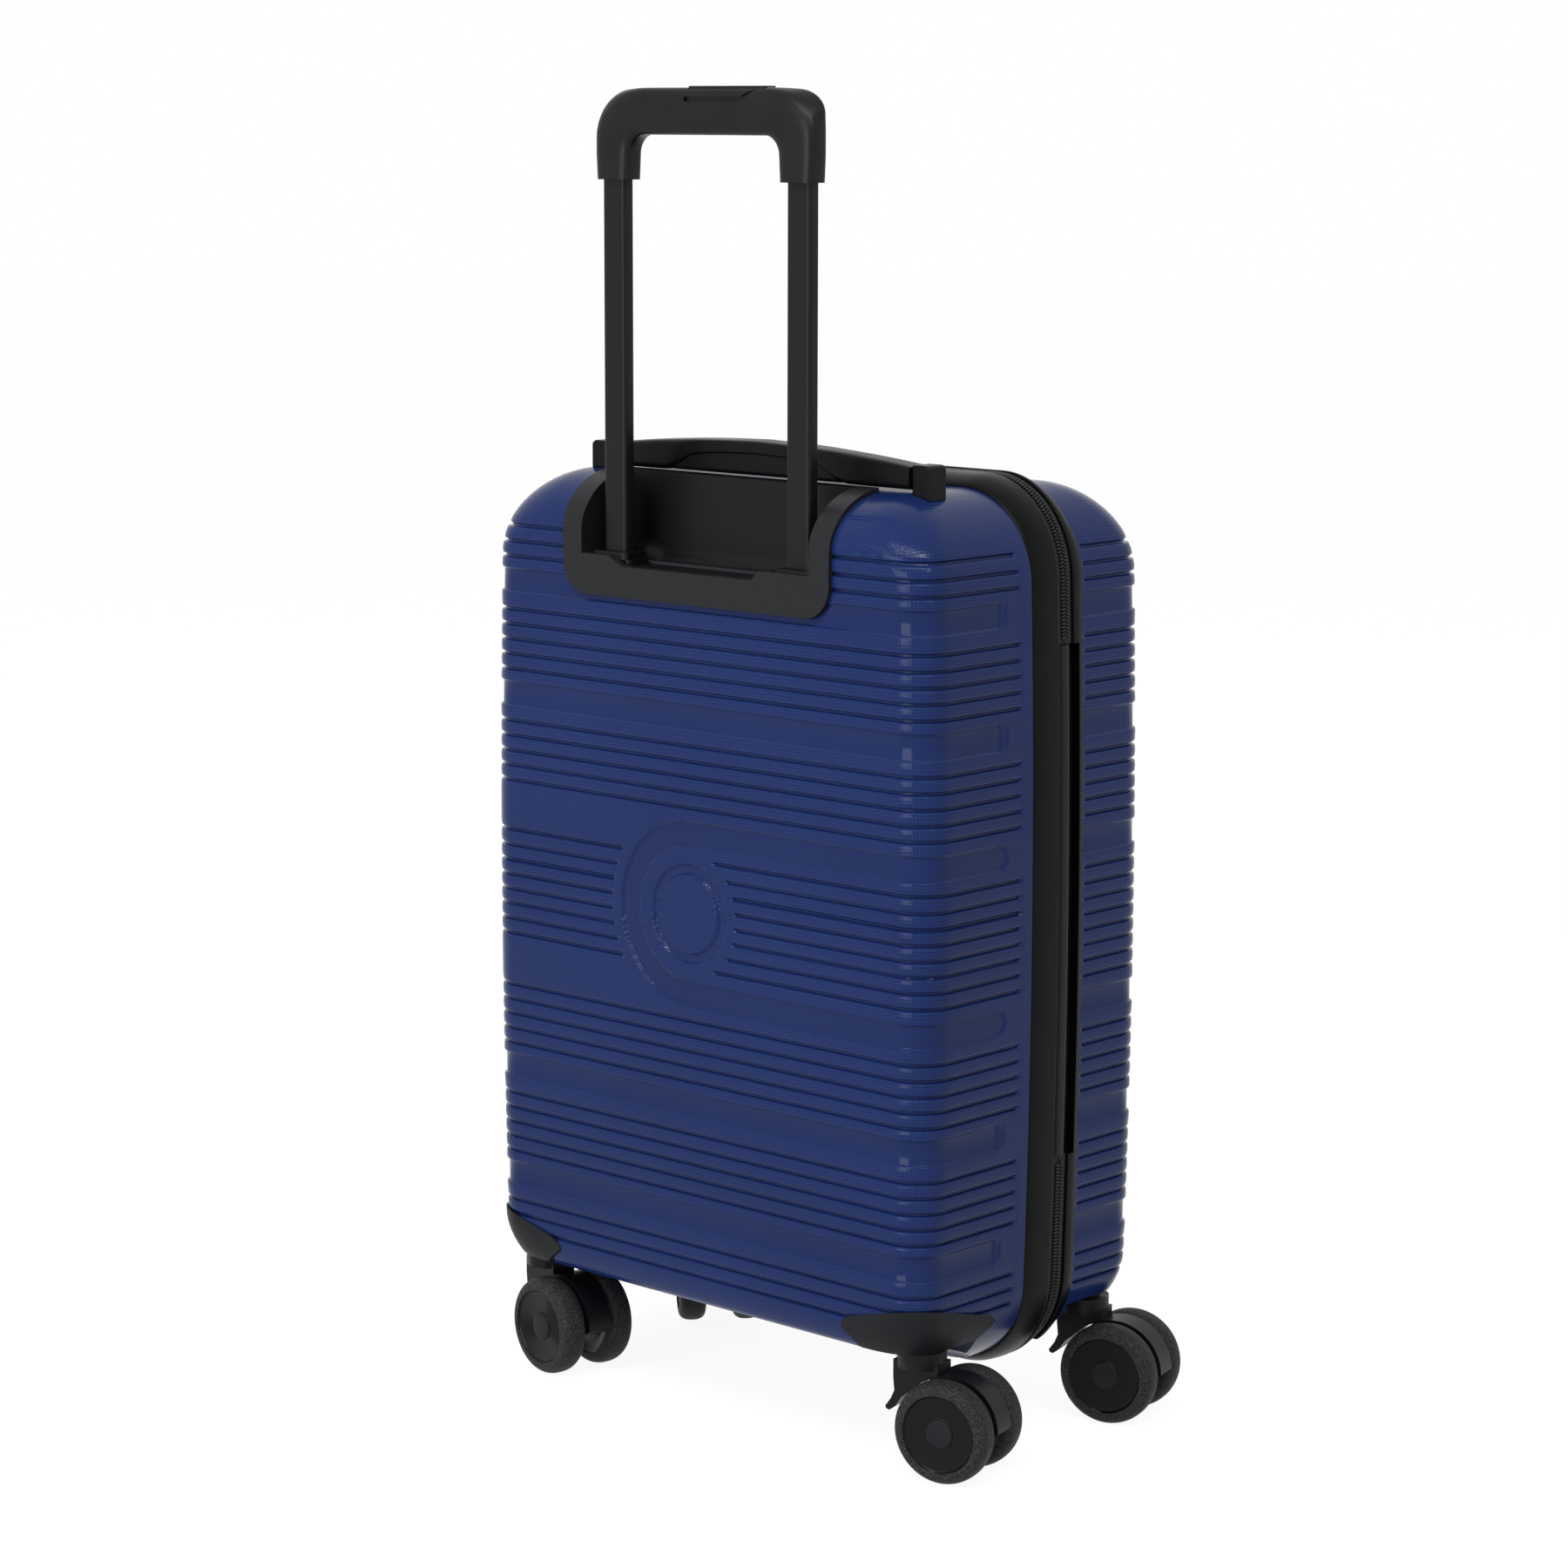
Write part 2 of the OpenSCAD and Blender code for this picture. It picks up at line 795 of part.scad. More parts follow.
// Grip as seen from behind: a bar with two legs
module grip_outline() {
    r = min(24, grip_h / 2);
    q = 10;
    leg = grip_w / 2 - grip_leg;
    difference() {
        union() {
            translate([-grip_w / 2, 0])
                square([grip_w, grip_h - r]);
            translate([-grip_w / 2 + r, 0])
                square([grip_w - 2 * r, grip_h]);
            for (s = [-1, 1])
                translate([s * (grip_w / 2 - r), grip_h - r])
                    circle(r = r);
        }
        translate([-leg, -1])
            square([2 * leg, grip_h - grip_bar + 1 - q]);
        translate([-leg + q, -1])
            square([2 * leg - 2 * q, grip_h - grip_bar + 1]);
        for (s = [-1, 1])
            translate([s * (leg - q), grip_h - grip_bar - q])
                circle(r = q);
    }
}

rod_z = grip_top - 14;

module grip() {
    color(BLACK)
        difference() {
            translate([0, tube_y + grip_d / 2, grip_low])
                rotate([90, 0, 0])
                    linear_extrude(height = grip_d)
                        grip_outline();
            at_tubes(grip_low - 1)
                linear_extrude(height = socket + 1)
                    round_rect(tube_w, tube_d, 2);
            at_tubes(grip_low)
                cylinder(r = 2.6, h = rod_z + 3 - grip_low);
            translate([-tube_x - 2.6, tube_y - 2.6, rod_z - button_travel - 0.8])
                cube([2 * tube_x + 5.2, 5.2, button_travel + 4.8]);
            translate([button_x - button_l / 2 - 0.35, tube_y - button_w / 2 - 0.35, rod_z - 1])
                cube([button_l + 0.7, button_w + 0.7, 30]);
        }
}

module grip_button() {
    color(GREY)
        translate([button_x - button_l / 2, tube_y - button_w / 2, rod_z + 3])
            cube([button_l, button_w, grip_top + 0.8 - rod_z - 3]);
}

// Flat bar under the button with a rod down each inner tube
module lock_rods() {
    color(STEEL) {
        translate([-tube_x - 2, tube_y - 2, rod_z])
            cube([2 * tube_x + 4, 4, 3]);
        at_tubes(grip_low - tube_l + 6)
            cylinder(r = 1.9, h = rod_z - grip_low + tube_l - 6 + 0.5);
    }
}

// --- Carry handles ---------------------------------------------------------------------------
// Side view of a handle along its length, standing on the shell at 0
module handle_outline(l) {
    h = l / 2;
    polygon([[-h, 1.8], [-62, 2], [-48, 11.3], [-30, 12.8], [0, 13.8], [30, 12.8], [48, 11.3], [62, 2],
        [h, 1.8], [h, 14.2], [h * 0.85, 16.2], [h * 0.6, 18.7], [h * 0.3, 20.7], [0, 21.5],
        [-h * 0.3, 20.7], [-h * 0.6, 18.7], [-h * 0.85, 16.2], [-h, 14.2]]);
}

tongue_w = handle_w - 9;
tongue_t = 2.5;
tongue_l = 10;
bracket_w = handle_w - 4;
bracket_l = 12;
bracket_h = 15;
lift = 7.5;

// Handle with a softer insert that fills its arch, and a tongue at each end
module handle(l) {
    translate([0, handle_w / 2, 0])
        rotate([90, 0, 0])
            linear_extrude(height = handle_w)
                handle_outline(l);
    translate([0, handle_w / 2 - 2, 0])
        rotate([90, 0, 0])
            linear_extrude(height = handle_w - 4)
                polygon([[-62, 2.2], [62, 2.2], [48, 14], [-48, 14]]);
    for (s = [-1, 1])
        translate([s * (l / 2 + tongue_l / 2 - 1.5) - tongue_l / 2 - 1.5, -tongue_w / 2, 3])
            cube([tongue_l + 3, tongue_w, tongue_t]);
}

// Brackets that hold the tongues of a handle with room to lift
module bracket_pair(l) {
    for (s = [-1, 1])
        difference() {
            translate([s * (l / 2 + 0.5 + bracket_l / 2), bracket_w / 2, 0])
                rotate([90, 0, 0])
                    linear_extrude(height = bracket_w) {
                        translate([-bracket_l / 2, -8])
                            square([bracket_l, bracket_h + 5]);
                        translate([-bracket_l / 2 + (s > 0 ? 0 : 3), bracket_h - 3])
                            square([bracket_l - 3, 3]);
                        translate([s * (bracket_l / 2 - 3), bracket_h - 3])
                            circle(r = 3);
                    }
            translate([s * (l / 2 + tongue_l / 2) - tongue_l / 2 - 0.6, -tongue_w / 2 - 0.4, 2.5])
                cube([tongue_l + 1.2, tongue_w + 0.8, 0.8 + tongue_t + lift]);
        }
}

module top_handle() {
    color(BLACK)
        translate([top_handle_x, handle_y, shell_high])
            handle(top_handle_l);
}

module side_handle() {
    color(BLACK)
        translate([half_w, handle_y, mid_z])
            rotate([0, 90, 0])
                handle(side_handle_l);
}

module top_handle_brackets() {
    color(BLACK)
        difference() {
            translate([top_handle_x, handle_y, shell_high])
                bracket_pair(top_handle_l);
            pillow(back_seam - 5, 0);
        }
}

module side_handle_brackets() {
    color(BLACK)
        difference() {
            translate([half_w, handle_y, mid_z])
                rotate([0, 90, 0])
                    bracket_pair(side_handle_l);
            pillow(back_seam - 5, 0);
        }
}

// --- Lock and zip pulls ----------------------------------------------------------------------
dial_x = lock_face + 1.2 - dial_r;
dial_y = lock_y + 16;
dial_z = [lock_z - 28, lock_z - 20, lock_z - 12];
slide_z = lock_z + 26;
pull_z = [lock_z - 6, lock_z + 12];
pin_x = half_w + 4.6;

module lock_case() {
    color(BLACK) {
        difference() {
            lock_box(0);
            for (z = dial_z)
                translate([dial_x, dial_y, z - 2.8])
                    cylinder(r = dial_r + 0.4, h = 5.6);
            translate([lock_face - 6, dial_y - 5, slide_z - 9])
                cube([20, 10, 18]);
            for (z = pull_z)
                translate([half_w - 2.2, lock_y + 0.8, z - 2.4])
                    cube([10, 4.4, 4.8]);
        }
        translate([dial_x, dial_y, dial_z[0] - 3])
            cylinder(r = 1.6, h = dial_z[2] - dial_z[0] + 6);
    }
}

module lock_dial(i) {
    color(STEEL)
        translate([dial_x, dial_y, dial_z[i] - 2.5])
            difference() {
                cylinder(r = dial_r, h = 5);
                translate([0, 0, -1])
                    cylinder(r = 1.6 + running, h = 7);
            }
}

module lock_slide() {
    color(GREY)
        translate([lock_face - 5.6, dial_y - 4.6, slide_z - 8.6])
            cube([7.2, 9.2, 13]);
}

// Slider body on the zip, with the pin that the pull tab turns on
module slider(z) {
    difference() {
        translate([half_w - 6, zip_mid - 5, z - 6])
            cube([8.4, 10, 12]);
        plate(zip_mid - 20, zip_mid + 20, rim_side_rise + 0.15, rim_rise);
    }
    difference() {
        translate([half_w - 6, zip_mid + 0.5, z - 5])
            cube([8, chain_w - 0.5, 10]);
        plate(zip_mid - 20, zip_mid + 20, rim_side_rise - 0.2, rim_rise);
    }
    for (s = [-1, 1])
        translate([half_w + 2, zip_mid - 2, z + s * 3.4 - 0.9])
            cube([4, 4, 1.8]);
    translate([pin_x, zip_mid, z - 3.4])
        cylinder(r = 1, h = 6.8);
}

module zip_sliders() {
    color(STEEL)
        for (z = pull_z)
            slider(z);
}

// Pull tab that lies over the back rim with its prong in the lock
module zip_pull(i) {
    color(STEEL)
        translate([pin_x, zip_mid, pull_z[i]])
            difference() {
                union() {
                    translate([0, 0, -2.1])
                        cylinder(r = 1.9, h = 4.2);
                    translate([-0.9, 0, -2.1])
                        cube([1.8, 6, 4.2]);
                    translate([-0.9, 4, -4])
                        cube([1.8, 30, 8]);
                    translate([-5.8, lock_y + 1.6 - zip_mid, -2])
                        cube([5.6, 2.8, 4]);
                }
                translate([0, 0, -5])
                    cylinder(r = 1 + running, h = 10);
            }
}

back_shell();
back_rim();
back_zip_tape();
back_zip_chain();
hinge_flap();
back_corner_housings();
back_lining();
back_panel();
back_straps();
strap_buckles();
trolley_cup();
tube_collars();
outer_tubes();
tube_feet();
top_handle_brackets();
side_handle_brackets();
lock_case();
zip_sliders();
front_shell();
front_rim();
front_zip_tape();
front_zip_chain();
front_corner_housings();
front_lining();
middle_tubes();
middle_caps();
inner_tubes();
grip();
grip_button();
lock_rods();
top_handle();
side_handle();
lock_dial(0);  // lock_dial_1
lock_dial(1);  // lock_dial_2
lock_dial(2);  // lock_dial_3
lock_slide();
zip_pull(0);  // zip_pull_1
zip_pull(1);  // zip_pull_2
fork(0);  // fork_1
stem(0);  // stem_1
tyres(0);  // tyres_1
hubs(0);  // hubs_1
axle(0);  // axle_1
fork(1);  // fork_2
stem(1);  // stem_2
tyres(1);  // tyres_2
hubs(1);  // hubs_2
axle(1);  // axle_2
fork(2);  // fork_3
stem(2);  // stem_3
tyres(2);  // tyres_3
hubs(2);  // hubs_3
axle(2);  // axle_3
fork(3);  // fork_4
stem(3);  // stem_4
tyres(3);  // tyres_4
hubs(3);  // hubs_4
axle(3);  // axle_4
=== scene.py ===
# %% [markdown]
# # A hard shell suitcase on twin-wheel casters
# The imported CAD model gives every moving part its place. Here each part that shows gets a
# finer surface and a finish. The frame is loaded first, because every piece rides on one of
# its bodies.

# %% Load the frame
import json
import math

import bmesh
import bpy
import numpy as np
from mathutils import Matrix, Quaternion, Vector

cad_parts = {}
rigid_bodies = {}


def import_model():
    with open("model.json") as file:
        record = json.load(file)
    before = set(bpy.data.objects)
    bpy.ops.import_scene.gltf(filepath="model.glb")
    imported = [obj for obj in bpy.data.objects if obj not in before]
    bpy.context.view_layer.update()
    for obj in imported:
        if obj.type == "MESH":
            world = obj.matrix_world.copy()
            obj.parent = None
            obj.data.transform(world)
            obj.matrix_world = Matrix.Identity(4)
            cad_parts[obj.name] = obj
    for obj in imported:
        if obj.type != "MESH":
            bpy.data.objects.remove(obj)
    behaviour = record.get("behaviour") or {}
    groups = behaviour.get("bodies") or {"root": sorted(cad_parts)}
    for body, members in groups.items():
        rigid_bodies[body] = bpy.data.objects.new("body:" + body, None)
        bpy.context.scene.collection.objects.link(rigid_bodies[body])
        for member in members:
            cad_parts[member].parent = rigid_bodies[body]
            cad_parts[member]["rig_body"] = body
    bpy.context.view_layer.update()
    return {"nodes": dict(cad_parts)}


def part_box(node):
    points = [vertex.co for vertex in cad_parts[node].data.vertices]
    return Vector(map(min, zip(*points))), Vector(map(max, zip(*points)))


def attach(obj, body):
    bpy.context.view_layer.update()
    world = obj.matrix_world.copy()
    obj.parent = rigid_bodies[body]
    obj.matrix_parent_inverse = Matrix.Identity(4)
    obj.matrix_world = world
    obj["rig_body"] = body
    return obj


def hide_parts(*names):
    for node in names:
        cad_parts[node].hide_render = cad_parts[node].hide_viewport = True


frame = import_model()
scene = bpy.context.scene
scene.view_settings.view_transform = "Standard"
MM = 0.001

# %% [markdown]
# ## The camera
# A long lens from a little above shows the trolley face and the hinge side. The camera could be
# aimed with a constraint, but a plain place and turn also hold when another view moves it.

# %% Camera
camera = bpy.data.objects.new("camera", bpy.data.cameras.new("camera"))
scene.collection.objects.link(camera)
scene.camera = camera
camera.data.sensor_width = 36.0
camera.data.lens = 93.56
camera.data.clip_end = 60.0
camera.location = Vector((-1.5148, 1.66175, 0.7195))
aim = Vector((0.2210, -0.21595, 0.2963)) - camera.location
camera.rotation_mode = "QUATERNION"
camera.rotation_quaternion = aim.to_track_quat("-Z", "Y") @ Quaternion((0, 0, 1), math.radians(0.12))
print("camera distance:", round(aim.length, 3))

# %% [markdown]
# ## Finishes
# A finish is a tree of shader nodes. Placing the nodes by hand takes many lines, so a small class
# wraps a socket: sums written in Python then add their own Math nodes, and one method adds
# any other node with its settings and inputs.

# %% A wire between shader nodes
class Wire:
    """A socket in a material's node tree. Arithmetic on it adds Math nodes."""

    def __init__(self, tree, socket=None):
        self.tree, self.socket = tree, socket

    def node(self, kind, settings=None, inputs=None, out=0):
        """Adds a node: its settings first, then a value or a wire for each named socket."""
        made = self.tree.nodes.new(kind)
        for name, value in (settings or {}).items():
            setattr(made, name, value)
        for name, value in (inputs or {}).items():
            if isinstance(value, Wire):
                self.tree.links.new(value.socket, made.inputs[name])
            else:
                made.inputs[name].default_value = value
        return Wire(self.tree, made.outputs[out])

    def maths(self, operation, *terms):
        return self.node("ShaderNodeMath", {"operation": operation}, dict(enumerate(terms)))

    def __add__(self, other):
        return self.maths("ADD", self, other)

    def __mul__(self, other):
        return self.maths("MULTIPLY", self, other)

    def __sub__(self, other):
        return self.maths("SUBTRACT", self, other)

    def __rsub__(self, other):
        return self.maths("SUBTRACT", other, self)

    __radd__, __rmul__ = __add__, __mul__

    def sin(self):
        return self.maths("SINE", self)

    def clamp(self, low, high):
        """Runs from 0 at low to 1 at high, and stays there."""
        return self.node("ShaderNodeMapRange", {"clamp": True},
                         {"Value": self, "From Min": low, "From Max": high})


def linear(*shades):
    """Colour as light, from the 0 to 255 values in which paints are usually given."""
    s = np.array(shades, float) / 255
    lit = np.where(s <= 0.04045, s / 12.92, ((s + 0.055) / 1.055) ** 2.4)
    return (*(float(c) for c in lit), 1.0)


print("a mid grey is", [round(c, 3) for c in linear(118, 118, 118)])

# %% [markdown]
# Every finish starts from the same shader. What varies over the surface goes to colour,
# roughness and a bump; all else is a fixed number on the shader's own socket.

# %% Start and close a finish
finishes = {}


def start(name, **fixed):
    """A new material: its wire to hang nodes on, and its shader with the fixed values set."""
    material = bpy.data.materials.new(name)
    material.use_nodes = True
    shader = material.node_tree.nodes["Principled BSDF"]
    for socket, value in fixed.items():
        shader.inputs[socket.replace("_", " ")].default_value = value
    finishes[name] = material
    return Wire(material.node_tree), shader


def close(pen, shader, colour, rough, height=None, depth=0.0):
    """Links colour and roughness, and turns a height from 0 to 1 into a bump of that depth."""
    pen.tree.links.new(colour.socket, shader.inputs["Base Color"])
    pen.tree.links.new(rough.socket, shader.inputs["Roughness"])
    if height is not None:
        bump = pen.node("ShaderNodeBump", None, {"Strength": 1.0, "Distance": depth * MM, "Height": height})
        pen.tree.links.new(bump.socket, shader.inputs["Normal"])


def speckle(pen, size, detail=2.0, stretch=(1, 1, 1)):
    """Smooth noise in the piece's own space with bumps about size millimetres across."""
    place = pen.node("ShaderNodeTexCoord", out="Object")
    place = pen.node("ShaderNodeMapping", None, {"Vector": place, "Scale": stretch})
    return pen.node("ShaderNodeTexNoise", None,
                    {"Vector": place, "Scale": 1 / (size * MM), "Detail": detail})


def mix(pen, amount, first, second):
    return pen.node("ShaderNodeMix", {"data_type": "RGBA"},
                    {"Factor": amount, 6: first, 7: second}, out=2)


def split(pen, vector):
    """The three numbers of a vector, each as a wire."""
    axes = pen.node("ShaderNodeSeparateXYZ", None, {0: vector}).socket.node.outputs
    return [Wire(pen.tree, axis) for axis in axes]


print("finish helpers ready")

# %% [markdown]
# The shells are glossy navy plastic with a fine diamond grain moulded in. The grain could be
# real geometry, but its cells are under two millimetres wide, so a bump that follows the piece's own
# UV map does it. The grain's light and shade are painted into the colour too: raised cells lighter,
# sunk cells darker. The bands are left smooth, and a mesh attribute says where they are.

# %% Blue shell finish
GRAIN = 1.9
pen, shader = start("navy_shell", Specular_IOR_Level=0.13)
u, v, _ = split(pen, pen.node("ShaderNodeUVMap", {"uv_map": "flow"}))
plain = pen.node("ShaderNodeAttribute", {"attribute_name": "plain"}, out="Fac")
turn = math.pi / (GRAIN * MM)
diamond = ((u + v) * turn).sin() * ((u - v) * turn).sin()
wave = speckle(pen, 55, 1.0)
tone = speckle(pen, 120, 2.0).clamp(0.3, 0.7)
# Painted highlight and shade: the colour follows the grain's relief, lighter on its raised cells and darker
# in its sunk ones.
grain = diamond * (1 - plain)
shade = grain * 0.4 + tone * 0.2 + 0.4 - plain * 0.15
close(pen, shader, mix(pen, shade, linear(15, 31, 74), linear(28, 47, 99)),
      0.17 - plain * 0.06 + (wave - 0.5) * 0.04, grain * 0.5 + wave * 3.6, 0.06)
print("finish:", *finishes)

# %% [markdown]
# The rims, grip, cup, handles and housings are black plastic from moulds with a spark-eroded
# grain. They differ in shade and gloss only, so one function makes them all from fine noise.
# The cup's walls get painted shade: their colour is darker than that of the broad rim around it, which the
# finish tells apart by its own coordinates.

# %% Moulded black plastics
def moulded(name, shade, rough, grain=0.5, depth=0.02, level=0.1):
    """Moulded plastic: even shade, slightly uneven gloss, and a fine erosion grain."""
    pen, shader = start(name, Specular_IOR_Level=level)
    cloud = speckle(pen, 30, 3.0).clamp(0.3, 0.7)
    fine = speckle(pen, grain, 2.0)
    dark, light = linear(*(c - 2 for c in shade)), linear(*(c + 3 for c in shade))
    close(pen, shader, mix(pen, cloud, dark, light), cloud * 0.08 + (rough - 0.04), fine, depth)


moulded("rim_black", (6, 7, 8), 0.33, level=0.08)
moulded("grip_black", (19, 20, 22), 0.33, level=0.15)
moulded("handle_black", (8, 9, 10), 0.33)
moulded("housing_black", (27, 28, 31), 0.45, 0.6, 0.03)
moulded("fork_black", (14, 15, 17), 0.38, 0.6, 0.03, 0.15)
moulded("flap_black", (15, 16, 17), 0.30, level=0.12)
moulded("lock_black", (18, 19, 20), 0.35)
moulded("button_grey", (22, 23, 25), 0.35)
moulded("board_grey", (46, 48, 52), 0.7, 2.0, 0.05)

pen, shader = start("cup_black", Specular_IOR_Level=0.15)
x, y, z = split(pen, pen.node("ShaderNodeTexCoord", out="Object"))
# Painted shade: inside the cup, behind y = 90 mm or above z = 484 mm and within x = ±84.5 mm, the colour is
# darker.
painted_cup_shade = pen.maths("MAXIMUM", 1 - y.clamp(0.0900, 0.0925), z.clamp(0.480, 0.484))
painted_cup_shade = painted_cup_shade * (1 - pen.maths("ABSOLUTE", x).clamp(0.0842, 0.0848))
close(pen, shader, mix(pen, painted_cup_shade, linear(28, 29, 31), linear(8, 9, 10)), painted_cup_shade * 0.05 + 0.36,
      speckle(pen, 0.5), 0.02)
print("finishes:", len(finishes))

# %% [markdown]
# The tubes are black-lacquered aluminium with faint drawing lines along them, and pins, stems and
# sliders are bare or plated metal. Stretching the noise along Z draws those lines.

# %% Metals
def drawn(name, shade, rough, metallic, stretch=(1, 1, 0.01), level=0.5):
    """Metal with fine lines in the direction in which the noise is stretched."""
    pen, shader = start(name, Metallic=metallic, Specular_IOR_Level=level)
    lines = speckle(pen, 0.35, 2.0, stretch)
    dark, light = linear(*(c * 0.94 for c in shade)), linear(*(min(c * 1.05, 255) for c in shade))
    close(pen, shader, mix(pen, lines, dark, light), lines * 0.12 + (rough - 0.06), lines, 0.006)


drawn("tube_lacquer", (18, 19, 21), 0.32, 0.0, level=0.15)
drawn("bright_steel", (190, 192, 196), 0.26, 1.0, (1, 1, 1))
drawn("dark_plate", (88, 89, 92), 0.28, 1.0, (1, 1, 1))
drawn("dial_metal", (150, 151, 154), 0.3, 1.0, (1, 1, 1))
print("finishes:", len(finishes))

# %% [markdown]
# The tyres are matt rubber with a sandy skin, whose light specks are made bright as a painted glint. The
# wheel discs are turned: their fine rings are real ridges of the mesh, so the finish here is plain and
# glossy.

# %% Rubber and turned discs
pen, shader = start("tyre_rubber", Specular_IOR_Level=0.15)
# Partly painted light: the sandy grain is real, and its light specks are made bright to stand in for glints
# on it.
sand_and_glint = speckle(pen, 0.9, 3.0).clamp(0.38, 0.68)
close(pen, shader, mix(pen, sand_and_glint, linear(10, 11, 12), linear(60, 61, 63)), sand_and_glint * 0.1 + 0.55, sand_and_glint, 0.2)

pen, shader = start("disc_black", Specular_IOR_Level=0.16)
close(pen, shader, mix(pen, speckle(pen, 12), linear(4, 4, 5), linear(7, 7, 8)),
      speckle(pen, 8) * 0.06 + 0.2)
print("finishes:", len(finishes))

# %% [markdown]
# Cloth is a weave: two families of threads that pass over and under each other. A product of
# sines gives their hills, and the coordinates are the piece's own, so the cloth follows it.

# %% Cloths
def woven(name, low, high, pitch, depth, uv):
    """Plain weave: threads along both axes, high where one passes over the other."""
    pen, shader = start(name, Sheen_Weight=0.25, Specular_IOR_Level=0.2)
    if uv:
        place = pen.node("ShaderNodeUVMap", {"uv_map": "flow"})
    else:
        place = pen.node("ShaderNodeTexCoord", out="Object")
    a, b, c = split(pen, place)
    along, across = (a, b) if uv else (a + c, c - b)
    turn = math.pi / (pitch * MM)
    over = (along * turn).sin() * (across * turn).sin()
    thread = ((along + across) * (turn * 2)).sin() * 0.15
    hills = over * 0.4 + thread + 0.5
    close(pen, shader, mix(pen, hills.clamp(0.1, 0.9), linear(*low), linear(*high)),
          hills * 0.05 + 0.85, hills, depth)


woven("tape_cloth", (13, 14, 15), (32, 33, 35), 0.7, 0.12, True)
woven("lining_cloth", (46, 49, 55), (70, 73, 80), 1.0, 0.10, False)
woven("webbing", (14, 15, 16), (42, 43, 45), 1.4, 0.25, False)
moulded("coil_nylon", (20, 21, 22), 0.33, 0.3, 0.01, 0.25)
print("finishes:", sorted(finishes))

# %% [markdown]
# ## Surfaces from grids
# Almost every piece is a grid of points worked out as one array: rows along one direction,
# columns along the other. Grids that share an edge are joined by merging the points
# that coincide. Each grid also gets a UV map in metres, measured along its rows and columns.

# %% Grid helpers
def arc(points, axis):
    """Distance walked along an axis of a grid, averaged over the other axis."""
    steps = np.linalg.norm(np.diff(points, axis=axis), axis=2).mean(axis=1 - axis)
    return np.concatenate([[0], np.cumsum(steps)]) * MM


def raw_mesh(name, sheets):
    """Mesh of several grids of points in millimetres. A sheet is an array of rows by columns by 3,
    or of copies by rows by columns by 3, and its cells become quads."""
    places, corners, maps, first = [], [], [], 0
    for sheet in sheets:
        sheet = np.asarray(sheet, float)
        copies = sheet if sheet.ndim == 4 else sheet[None]
        k, rows, cols = copies.shape[:3]
        i, j = np.meshgrid(np.arange(rows - 1), np.arange(cols - 1), indexing="ij")
        a = i * cols + j
        cell = np.stack([a, a + 1, a + cols + 1, a + cols], -1).reshape(-1, 4)
        flow = np.stack(np.meshgrid(arc(copies[0], 1), arc(copies[0], 0)), -1).reshape(-1, 2)
        places.append(copies.reshape(-1, 3) * MM)
        corners.append((cell[None] + (first + np.arange(k) * rows * cols)[:, None, None]).reshape(-1, 4))
        maps.append(np.tile(flow[cell.ravel()], (k, 1)))
        first += k * rows * cols
    places, corners, maps = (np.concatenate(x) for x in (places, corners, maps))
    mesh = bpy.data.meshes.new(name)
    mesh.vertices.add(len(places))
    mesh.vertices.foreach_set("co", places.astype(np.float32).ravel())
    mesh.loops.add(corners.size)
    mesh.loops.foreach_set("vertex_index", corners.astype(np.int32).ravel())
    mesh.polygons.add(len(corners))
    mesh.polygons.foreach_set("loop_start", np.arange(0, corners.size, 4, dtype=np.int32))
    mesh.update(calc_edges=True)
    mesh.uv_layers.new(name="flow").data.foreach_set("uv", maps.astype(np.float32).ravel())
    return mesh


def placed_in_scene(name, data):
    """A new object for a mesh or a lamp, linked to the scene."""
    thing = bpy.data.objects.new(name, data)
    scene.collection.objects.link(thing)
    return thing


def tidy(mesh, gap=0.003):
    """Merges points closer than gap millimetres, drops empty cells and turns faces outwards."""
    work = bmesh.new()
    work.from_mesh(mesh)
    bmesh.ops.remove_doubles(work, verts=work.verts, dist=gap * MM)
    bmesh.ops.dissolve_degenerate(work, edges=work.edges, dist=gap * MM / 4)
    bmesh.ops.recalc_face_normals(work, faces=work.faces)
    work.to_mesh(mesh)
    work.free()
    return mesh


def closed(name, sheets):
    return tidy(raw_mesh(name, sheets))


def ring(points, axis):
    """Repeats the first row or column at the end, so that the grid closes on itself."""
    return np.concatenate([points, points.take([0], axis=axis)], axis=axis)


def show(name, mesh, finish, node, others=(), sharp=35.0, stands_in=True):
    """Puts a mesh in the scene with its finish, on the body of a CAD node and in its place."""
    thing = placed_in_scene(name, mesh)
    mesh.materials.clear()
    mesh.materials.append(finishes[finish])
    mesh.polygons.foreach_set("material_index", np.zeros(len(mesh.polygons), np.int32))
    mesh.polygons.foreach_set("use_smooth", np.ones(len(mesh.polygons), bool))
    mesh.set_sharp_from_angle(angle=math.radians(sharp))
    mesh.name = name
    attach(thing, frame["nodes"][node]["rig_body"])
    if stands_in:
        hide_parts(node, *others)
    print(f"{name}: {len(mesh.polygons)} faces")
    return thing


print("grid helpers ready")

# %% [markdown]
# A cut through a finished surface is a boolean: Blender works out the common edge. It is used
# where two curved forms meet in a line that no simple formula gives.

# %% Boolean helper
def carve(mesh, other, operation="DIFFERENCE"):
    """A closed mesh minus, plus or in common with another closed mesh."""
    pair = [placed_in_scene("carve", m) for m in (mesh, other)]
    step = pair[0].modifiers.new("carve", "BOOLEAN")
    step.solver, step.operation, step.object = "EXACT", operation, pair[1]
    seen = pair[0].evaluated_get(bpy.context.evaluated_depsgraph_get())
    result = bpy.data.meshes.new_from_object(seen)
    for thing in pair:
        bpy.data.objects.remove(thing)
    bpy.data.meshes.remove(mesh)
    return result


